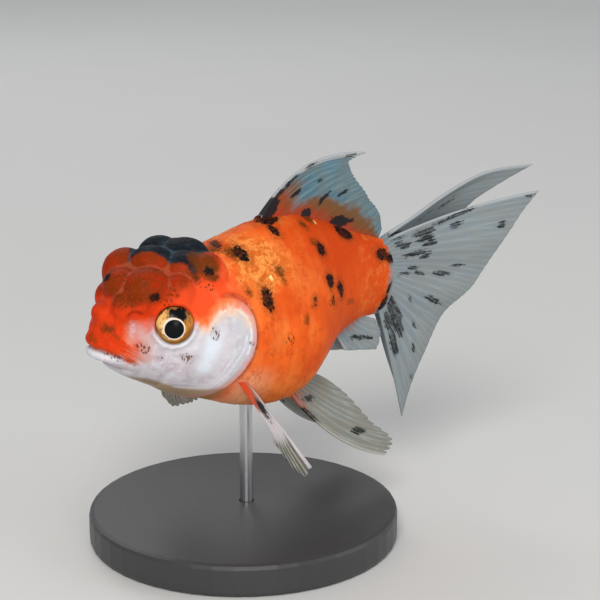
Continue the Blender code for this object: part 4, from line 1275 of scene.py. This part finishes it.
def skinPaint(name):
    paint = Paint(name, skinGloss, skinColours)
    spot = paint.read("fish", "Vector")
    station, height = paint.parts(spot)[::2]
    broad = paint.noise(110.0, 2.0)
    clouds = broad - 0.5
    patchy = paint.noise(380.0, 4.0, 0.62)
    patches = patchy - 0.5
    fine = paint.noise(1300.0, 3.0, 0.6)
    grains = fine - 0.5
    dust = paint.noise(2600.0, 2.0, 0.6)
    ragged = patches * 2.4 + grains * 3.2 + (dust - 0.5) * 2.4

    paint.colour = paint.mix(paint.ease(broad, 0.34, 0.76) * 0.7, "orange", "deepOrange")
    paint.lay(paint.ease(height + clouds * 16.0, -8.0, -20.0) * 0.8, "belly")
    shade = paint.ease(height + patches * 6.0, 3.0, 16.0) * 0.62 * paint.ease(station, 42.0, 54.0)
    shade = shade + paint.ease(station + patches * 12.0, 50.0, 66.0) * 0.6
    paint.lay(shade, "deepOrange")
    streaks = paint.noise(1.0, 4.0, 0.6, paint.stretch(spot, (0.16, 0.13, 0.08)))
    paint.lay(paint.ease(streaks, 0.42, 0.7) * paint.ease(station, 68.0, 50.0) * 0.5, "amber")
    stem = paint.ease(station, 70.0, 80.0) * paint.ease(patchy * 0.7 + streaks * 0.3, 0.44, 0.6)
    paint.lay(stem * 0.42, "amber")
    # painted bounce light: cream laid low on the front belly to lift its shade
    bellyBounceLight = paint.ease(station, 46.0, 36.0) * paint.ease(height, -7.0, -13.0)
    paint.lay(bellyBounceLight * 0.45, "cream")
    mottle = paint.ease(paint.noise(300.0, 4.0, 0.6), 0.5, 0.64) * paint.ease(fine, 0.38, 0.58)
    paint.lay(mottle * 0.5, "rust")
    gold = paint.read("gold")
    flakes = paint.noise(720.0, 4.0, 0.7) * 0.6 + patchy * 0.4
    goldTone = paint.mix(paint.ease(flakes, 0.43, 0.57), "goldDark", "goldLight")
    paint.lay(paint.ease(gold + patches * 0.9, 0.3, 0.85) * 0.85, goldTone)
    face = paint.ease(station + patches * 6.0, 38.0, 28.0)
    faceTone = paint.mix(paint.ease(patchy, 0.44, 0.62) * 0.7, "face", "faceDeep")
    faceTone = paint.mix(paint.ease(station, 14.0, 20.0) * 0.85, faceTone, "flare")
    paler = paint.ease(station, 25.0, 30.0) * paint.ease(patchy * 0.6 + broad * 0.4, 0.46, 0.6)
    faceTone = paint.mix(paler * 0.6, faceTone, "salmon")
    paint.lay(face * 0.92, faceTone)
    slanted = paint.node(
        "ShaderNodeCombineXYZ", {}, {0: height * 1.5 + station * 1.1, 1: station * 0.22, 2: 0.0}
    )
    strands = paint.ease(paint.noise(1.0, 3.0, 0.6, slanted) + patches * 0.4, 0.46, 0.64)
    jaw = paint.ease(station, 4.0, 8.0) * paint.ease(station, 14.0, 11.0) * paint.ease(height, 4.5, 0.5)
    paint.lay(strands * jaw * 0.62, "salmon")

    crease = paint.read("crease")
    # painted highlight: pale lines laid along the hollows between the hood's lobes
    hollowHighlight = paint.ease(crease, 0.002, 0.018)
    lobes = paint.ease(paint.read("lobes") + patches * 0.9, 0.1, 1.0)
    lobeTone = paint.mix(paint.ease(broad + grains * 0.3, 0.4, 0.57), "lobeRed", "lobeBrown")
    lobeTone = paint.mix(paint.ease(dust, 0.52, 0.66) * 0.16 + hollowHighlight * 0.45, lobeTone, "lobeFleckAndHighlight")
    paint.lay(lobes * 0.9, lobeTone)
    cap = paint.ease(paint.read("cap") + ragged * 0.5 + clouds * 5.0, -0.7, 0.9)
    # the cap: pale patches, and painted highlight along its hollows
    capTone = paint.mix(hollowHighlight * 0.8 + paint.ease(patchy, 0.5, 0.64) * 0.25, "cap", "capPaleAndHighlight")
    paint.lay(cap * 0.97, capTone)

    border = paint.read("white") + patches * 4.4 + grains * 1.6
    soft = paint.ease(station, 16.0, 11.5) * paint.ease(station + height, 3.0, 5.0)
    soft = soft * paint.ease(height, -5.0, -3.4)
    white = paint.ease(border, -1.0, 1.3) * (1.0 - soft) + paint.ease(border, -2.2, 3.2) * soft
    pearlTone = paint.mix(paint.ease(patchy, 0.44, 0.64) * 0.6, "pearl", "lilac")
    # painted highlight: a bright band down the gill cover
    coverHighlight = paint.ease(paint.read("coverHighlight") + clouds * 1.2 + patches * 1.4, 0.0, 1.15)
    pearlTone = paint.mix(paint.ease(station, 29.0, 32.0) * 0.5, pearlTone, "pearlGrey")
    blushed = paint.ease(station, 14.0, 10.5) * paint.ease(station + height, 2.5, 4.5)
    blushed = blushed * paint.ease(height, -6.0, -4.0)
    pearlTone = paint.mix(blushed * 0.7, pearlTone, "blush")
    # painted highlight: the bright arcs near the cover's rim
    glint = paint.ease(paint.read("highlightArcs") + patches * 2.2 + grains * 0.6, 0.15, 1.1)
    spots = paint.ease(paint.noise(430.0, 3.0, 0.6), 0.55, 0.64) * paint.ease(station, 9.0, 12.0)
    spots = spots * (paint.ease(station, 24.0, 20.0) * 0.12 + 0.18)
    lipShine = paint.ease(station, 8.0, 6.0) * paint.ease(height, -1.6, -3.2) * 0.4
    # bright pearl for the painted highlights on the cover, and for pale pearl spots and the lip's pale
    # front
    shine = (coverHighlight * 0.85).most(glint * 0.85).most(spots).most(lipShine)
    pearlTone = paint.mix(shine, pearlTone, "pearlBright")
    creamy = paint.ease(border, 3.4, 0.8) * paint.ease(station, 20.0, 24.0)
    pearlTone = paint.mix(creamy * paint.ease(height, 0.0, 3.0) * 0.6, pearlTone, "cream")
    veil = paint.ease(border, -2.6, -0.4) * (paint.ease(station, 14.0, 22.0) * 0.3 + 0.1)
    paint.lay(veil, "veil")
    paint.lay(white, pearlTone)
    paint.lay(paint.read("throat") * 0.85, "throat")
    paint.lay(paint.read("rim") * 0.55, "rimPink")
    paint.lay(paint.read("scaleEdge") * 0.3, "deepOrange")
    rootEdge = station + paint.ease(height, -1.0, -8.0) * 4.0 + patches * 4.0 + grains * 4.0
    rootEdge = paint.ease(rootEdge, 85.0, 86.8)
    paint.lay(rootEdge * 0.9, "finRoot")

    brownMask = paint.ease(paint.read("brown") + ragged * 0.35, -0.5, 0.8)
    brownMask = brownMask * (paint.ease(patchy * 0.6 + fine * 0.4, 0.42, 0.58) * 0.3 + 0.68)
    paint.lay(brownMask, "brown")
    black = paint.read("black")
    halo = paint.ease(black + ragged * 0.5, -1.5, -0.1)
    paint.lay(halo * 0.34, "brown")
    blackMask = paint.ease(black + ragged * 0.4, -0.2, 0.26)
    blackMask = blackMask * (paint.ease(fine * 0.6 + patchy * 0.4, 0.4, 0.56) * 0.16 + 0.84)
    paint.lay(blackMask, "black")
    dash = paint.read("dash")
    smudged = paint.ease(dash + grains * 2.0, -0.6, 0.7) * white
    paint.lay(smudged * 0.26, "smudge")
    flecks = paint.ease(paint.cells(1.0, paint.stretch(spot, (1.9, 1.3, 1.0))), 0.48, 0.36)
    fleckMask = flecks * paint.ease(dash + patches * 1.2, -0.15, 0.2)
    paint.lay(fleckMask * 0.85, "brown")
    peppered = paint.ease(paint.cells(1100.0) + grains * 0.9, 0.3, 0.16)
    peppered = peppered * paint.ease(patchy, 0.48, 0.56) * paint.ease(gold, 0.2, 0.65)
    paint.lay(peppered * 0.6, "brown")

    paint.lay(paint.ease(paint.read("gilt") + ragged * 0.2, -0.05, 0.2), "gilt")
    socket = paint.read("socket")
    # the lid ring round each eye: face colour above, pale pearl below, where it is a painted highlight
    # along the lower lid
    lidRingAndHighlight = paint.mix(paint.ease(height + patches * 3.0, 2.0, 5.0), "pearlBright", "face")
    paint.lay(paint.ease(socket, 5.4, 4.95) * 0.42, lidRingAndHighlight)
    lidShade = paint.ease(socket, 4.75, 4.5) * (paint.ease(height, 1.0, 5.0) * 0.7 + 0.3)
    paint.lay(lidShade, "mouth")
    # painted shade in the mouth's line, under the lower lip, in the gill slit and in the nostril
    recessShade = (paint.read("mouth") * 0.6).most(paint.read("slit") * 0.5).most(paint.read("nostril") * 0.85)
    paint.lay(recessShade, "mouth")
    paint.feed("Base Color", paint.colour)

    paint.feed("Roughness", 0.44 - white * 0.12 + grains * 0.1 + cap * 0.06)
    paint.feed("Coat Weight", white * 0.3)
    grain = paint.cells(1150.0, feature="SMOOTH_F1") * 0.5 + fine * 0.5
    pimples = paint.cells(1700.0, feature="SMOOTH_F1") * lobes
    swell = paint.bump(patchy, 0.14, 0.0006, paint.bump(pimples, 0.45, 0.0004))
    paint.feed("Normal", paint.bump(grain, 0.22, 0.0002, swell))
    return paint


finTones = {  # membrane, ray, warm tone, orange at the root and pale first ray of each kind of fin
    "dorsal": {
        "membrane": (0.075, 0.16, 0.21),
        "ray": (0.19, 0.30, 0.355),
        "warm": (0.155, 0.19, 0.17),
        "orange": (0.37, 0.036, 0.005),
        "pale": (0.50, 0.52, 0.53),
    },
    "tail": {
        "membrane": (0.21, 0.255, 0.28),
        "ray": (0.28, 0.325, 0.35),
        "warm": (0.245, 0.265, 0.25),
        "orange": (0.42, 0.042, 0.005),
        "pale": (0.45, 0.48, 0.50),
    },
    "paired": {
        "membrane": (0.20, 0.218, 0.205),
        "ray": (0.36, 0.37, 0.34),
        "warm": (0.24, 0.225, 0.18),
        "orange": (0.5, 0.06, 0.01),
        "pale": (0.5, 0.5, 0.47),
    },
    "pectoral": {
        "membrane": (0.09, 0.095, 0.08),
        "ray": (0.62, 0.62, 0.56),
        "warm": (0.22, 0.215, 0.18),
        "orange": (0.72, 0.085, 0.016),
        "pale": (0.74, 0.68, 0.72),
    },
}
finSharedTones = {"amber": (0.165, 0.070, 0.022), "black": (0.014, 0.016, 0.019)}
finGloss = {
    "IOR": 1.36,
    "Specular IOR Level": 0.06,
    "Subsurface Weight": 0.06,
    "Subsurface Scale": 0.001,
}
finWear = {  # share of the ray's tone, solidity of the black, and where amber turns to orange
    "dorsal": (0.5, 0.96, (0.44, 0.02)),
    "tail": (0.5, 0.62, (0.4, 0.1)),
    "paired": (0.5, 0.6, (0.9, 0.3)),
    "pectoral": (0.95, 0.96, (0.9, 0.5)),
}


def finPaint(kind):
    rayShare, blackShare, turn = finWear[kind]
    paint = Paint(kind + "Fin", finGloss, {**finTones[kind], **finSharedTones})
    rayPlace = paint.read("rayPlace", "Vector")
    crest = paint.read("crest")
    reach = paint.read("reach")
    streaks = paint.noise(1.0, 3.0, 0.6, paint.stretch(rayPlace, (1.3, 4.0, 1.0)))
    streaky = streaks - 0.5
    hairs = paint.noise(1.0, 2.0, 0.6, paint.stretch(rayPlace, (5.0, 5.0, 1.0)))
    hairy = hairs - 0.5
    patchy = paint.noise(260.0, 3.0)
    fine = paint.noise(1300.0, 3.0)
    paint.colour = paint.mix(crest * rayShare + paint.ease(hairs, 0.4, 0.64) * 0.35, "membrane", "ray")
    paint.lay(paint.ease(patchy + reach * 0.12, 0.46, 0.66) * 0.5, "warm")
    tint = paint.ease(paint.read("orange") + streaky * 0.7 + hairy * 0.3, -0.14, 0.2)
    low = paint.ease(reach + streaky * 0.5 + hairy * 0.4, *turn)
    paint.lay(tint * 0.95, paint.mix(low, "amber", "orange"))
    paint.lay(paint.read("spine") * 0.8, "pale")
    broken = hairy * 3.2 + (fine - 0.5) * 2.0 + (patchy - 0.5) * 1.0
    mask = paint.ease(paint.read("black") + broken * 0.42 + (crest - 0.4) * 0.3, -0.26, 0.14)
    solid = paint.ease(hairs * 0.7 + fine * 0.3, 0.44, 0.54) * (0.96 - blackShare) + blackShare
    paint.lay(mask * solid, "black")
    paint.feed("Base Color", paint.colour)
    paint.feed("Roughness", 0.5 - crest * 0.08)
    clear = 0.9 + crest * 0.06 + tint * 0.3 + mask * 0.2 - paint.ease(reach, 0.75, 1.0) * 0.14
    paint.feed("Alpha", clear.least(1.0))
    paint.feed("Normal", paint.bump(hairs, 0.15, 0.0002))
    return paint


eyeColours = {
    "gold": (0.60, 0.23, 0.035),
    "goldBright": (0.86, 0.54, 0.19),
    "bronze": (0.27, 0.115, 0.016),
    "brown": (0.24, 0.085, 0.015),
    "pale": (0.78, 0.68, 0.58),
    "black": (0.004, 0.005, 0.006),
}
eyeGloss = {
    "IOR": 1.36,
    "Coat Roughness": 0.03,
    "Coat Weight": 0.2,
    "Coat IOR": 1.3,
    "Specular IOR Level": 0.1,
}
iris = {  # millimetres from the eye's middle
    "pupilForward": 0.3,
    "pupilDown": 0.45,
    "pupilRadius": 2.28,
    "ringRadius": 2.64,
    "patchBack": 0.8,
    "patchUp": 2.9,
    "patchLength": 2.2,
    "patchHeight": 1.9,
}


def eyePaint():
    paint = Paint("eye", eyeGloss, eyeColours)
    across, upward = paint.parts(paint.read("eyePlace", "Vector"))[:2]
    radial = (across**2.0 + upward**2.0) ** 0.5
    fromPupil = ((across + iris["pupilForward"]) ** 2.0 + (upward + iris["pupilDown"]) ** 2.0) ** 0.5
    threads = paint.noise(800.0, 4.0, 0.7)
    thready = threads - 0.5
    blotch = paint.noise(420.0, 3.0)
    blotchy = blotch - 0.5
    lit = upward * 0.5 - across + thready * 6.5
    paint.colour = paint.mix(paint.ease(lit, -2.6, 2.0), "gold", "goldBright")
    lowDown = paint.ease(upward + blotchy * 2.0, 0.6, -1.2) * paint.ease(fromPupil, 2.9, 3.2)
    paint.lay(lowDown * 0.9, "bronze")
    paint.lay(paint.ease(threads + radial * 0.03, 0.56, 0.7) * 0.75, "brown")
    patchAcross = (across - iris["patchBack"]) / iris["patchLength"]
    patchUpward = (upward - iris["patchUp"]) / iris["patchHeight"]
    patch = (patchAcross**2.0 + patchUpward**2.0) ** 0.5 + blotchy * 1.8 + thready * 3.0
    paint.lay(paint.ease(patch, 1.36, 1.06) * 0.85, "brown")
    paint.lay(paint.ease(patch, 1.06, 0.86), "black")
    ring = fromPupil + thready * 0.4 - paint.ease(upward - across, 0.0, 4.0) * 0.14
    paint.lay(paint.ease(ring, iris["ringRadius"], iris["ringRadius"] - 0.14), "pale")
    paint.lay(paint.ease(fromPupil, iris["pupilRadius"], iris["pupilRadius"] - 0.1), "black")
    high = paint.ease(upward, -1.0, 2.0) * 0.75 + 0.2
    paint.lay(paint.ease(radial + thready * 0.5, 4.25, 4.55) * high, "brown")
    paint.lay(paint.ease(radial, 4.5, 4.58) * high, "black")
    paint.feed("Base Color", paint.colour)
    paint.feed("Roughness", 0.2 + threads * 0.15)
    return paint


def basePaint():
    paint = Paint("standBase", {"IOR": 1.45, "Coat Weight": 0.1, "Coat Roughness": 0.3})
    grain = paint.noise(1800.0, 3.0)
    paint.feed("Base Color", paint.mix(paint.noise(60.0), (0.030, 0.031, 0.034), (0.042, 0.043, 0.046)))
    paint.feed("Roughness", 0.36 + grain * 0.16)
    paint.feed("Normal", paint.bump(grain, 0.15, 0.0001))
    return paint


def rodPaint():
    paint = Paint("standRod", {"Metallic": 1.0})
    brushed = paint.noise(1.0, 3.0, 0.6, paint.stretch(paint.where(), (9000.0, 9000.0, 300.0)))
    paint.feed("Base Color", paint.mix(brushed, (0.50, 0.50, 0.52), (0.66, 0.66, 0.68)))
    paint.feed("Roughness", 0.24 + brushed * 0.16)
    paint.feed("Normal", paint.bump(brushed, 0.1, 0.00005))
    return paint


def wear(piece, paint):
    if piece.material_slots:
        piece.material_slots[0].link = "OBJECT"
        piece.material_slots[0].material = paint.material
    else:
        piece.data.materials.append(paint.material)


skinFinish = skinPaint("skin")
skinPiece.data.materials.append(skinFinish.material)
scaleRows, scaleCount = scalePiece(skinPaint("scale"))
eyeFinish = eyePaint()
finFinishes = {kind: finPaint(kind) for kind in ("dorsal", "tail", "paired", "pectoral")}
for name, piece in finPieces.items():
    piece.data.materials.append(finFinishes[fins[name]["tone"]].material)
for piece in eyePieces:
    piece.data.materials.append(eyeFinish.material)
wear(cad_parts["stand_base"], basePaint())
wear(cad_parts["stand_rod"], rodPaint())
print("scales:", scaleCount)
print("finishes: done")

# Floor, light and camera.

studio = {
    "floorRadius": 15.0,
    "floorTones": ((0.66, 0.66, 0.65), (0.69, 0.69, 0.68)),
    "floorGlow": (0.12, 0.124, 0.127),
    "glowFrom": (0.4, 2.0),
    "worldTone": (0.80, 0.82, 0.84),
    "worldStrength": 0.44,
    "lamps": {  # place, size, power and tone
        "key": ((-0.75, -0.85, 0.95), 0.6, 13.0, (1.0, 0.97, 0.93)),
        "fill": ((0.9, -0.8, 0.45), 0.9, 3.2, (0.93, 0.96, 1.0)),
        "back": ((0.3, 0.9, 0.9), 0.8, 3.2, (1.0, 1.0, 1.0)),
        "low": ((-0.3, -0.9, 0.2), 0.36, 1.9, (1.0, 0.96, 0.9)),
    },
}
view = {
    "azimuth": math.radians(-36.0),
    "elevation": math.radians(15.0),
    "distance": 0.42,
    "target": (0.01562, -0.00222, 0.05815),
    "lens": 103.3,
}


def setStage():
    bm = bmesh.new()
    bmesh.ops.create_circle(bm, cap_ends=True, segments=96, radius=studio["floorRadius"])
    mesh = bpy.data.meshes.new("floor")
    bm.to_mesh(mesh)
    bm.free()
    floor = objectFrom("floor", mesh)
    paint = Paint("floor", {"Roughness": 0.75, "Emission Strength": 1.0})
    paint.feed("Base Color", paint.mix(paint.noise(8.0), *studio["floorTones"]))
    away = paint.node("ShaderNodeVectorMath", {"operation": "LENGTH"}, {0: paint.where()}, "Value")
    glow = paint.mix(paint.ease(away, *studio["glowFrom"]), (0.0, 0.0, 0.0), studio["floorGlow"])
    paint.feed("Emission Color", glow)  # the far floor meets the backdrop's tone
    floor.data.materials.append(paint.material)
    world = bpy.data.worlds.new("studio")
    world.use_nodes = True
    sky = world.node_tree.nodes["Background"].inputs
    sky["Color"].default_value = (*studio["worldTone"], 1.0)
    sky["Strength"].default_value = studio["worldStrength"]
    bpy.context.scene.world = world
    target = Vector(view["target"])
    for name, (at, size, power, tone) in studio["lamps"].items():
        lamp = bpy.data.lights.new(name, "AREA")
        lamp.shape, lamp.size, lamp.energy, lamp.color = "DISK", size, power, tone
        holder = objectFrom(name, lamp)
        holder.location = at
        holder.rotation_euler = (target - Vector(at)).to_track_quat("-Z", "Y").to_euler()


def setCamera():
    a, e = view["azimuth"], view["elevation"]
    back = Vector((math.sin(a) * math.cos(e), -math.cos(a) * math.cos(e), math.sin(e)))
    lens = bpy.data.cameras.new("camera")
    lens.lens, lens.sensor_width, lens.clip_start = view["lens"], 36.0, 0.01
    camera = objectFrom("camera", lens)
    camera.location = Vector(view["target"]) + back * view["distance"]
    camera.rotation_euler = (-back).to_track_quat("-Z", "Y").to_euler()
    bpy.context.scene.camera = camera


setStage()
setCamera()
bpy.context.scene.view_settings.view_transform = "Standard"
print("stage: done")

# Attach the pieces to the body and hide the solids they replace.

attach(skinPiece, "root")
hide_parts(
    "head", "hood", "lower_jaw", "gill_cover_left", "gill_cover_right", "trunk", "tail_stem"
)
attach(scaleRows, "root")
for piece, node in zip(eyePieces, ("eye_left", "eye_right")):
    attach(piece, "root")
    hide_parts(node)
for name, piece in finPieces.items():
    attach(piece, "root")
    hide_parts(fins[name]["node"])
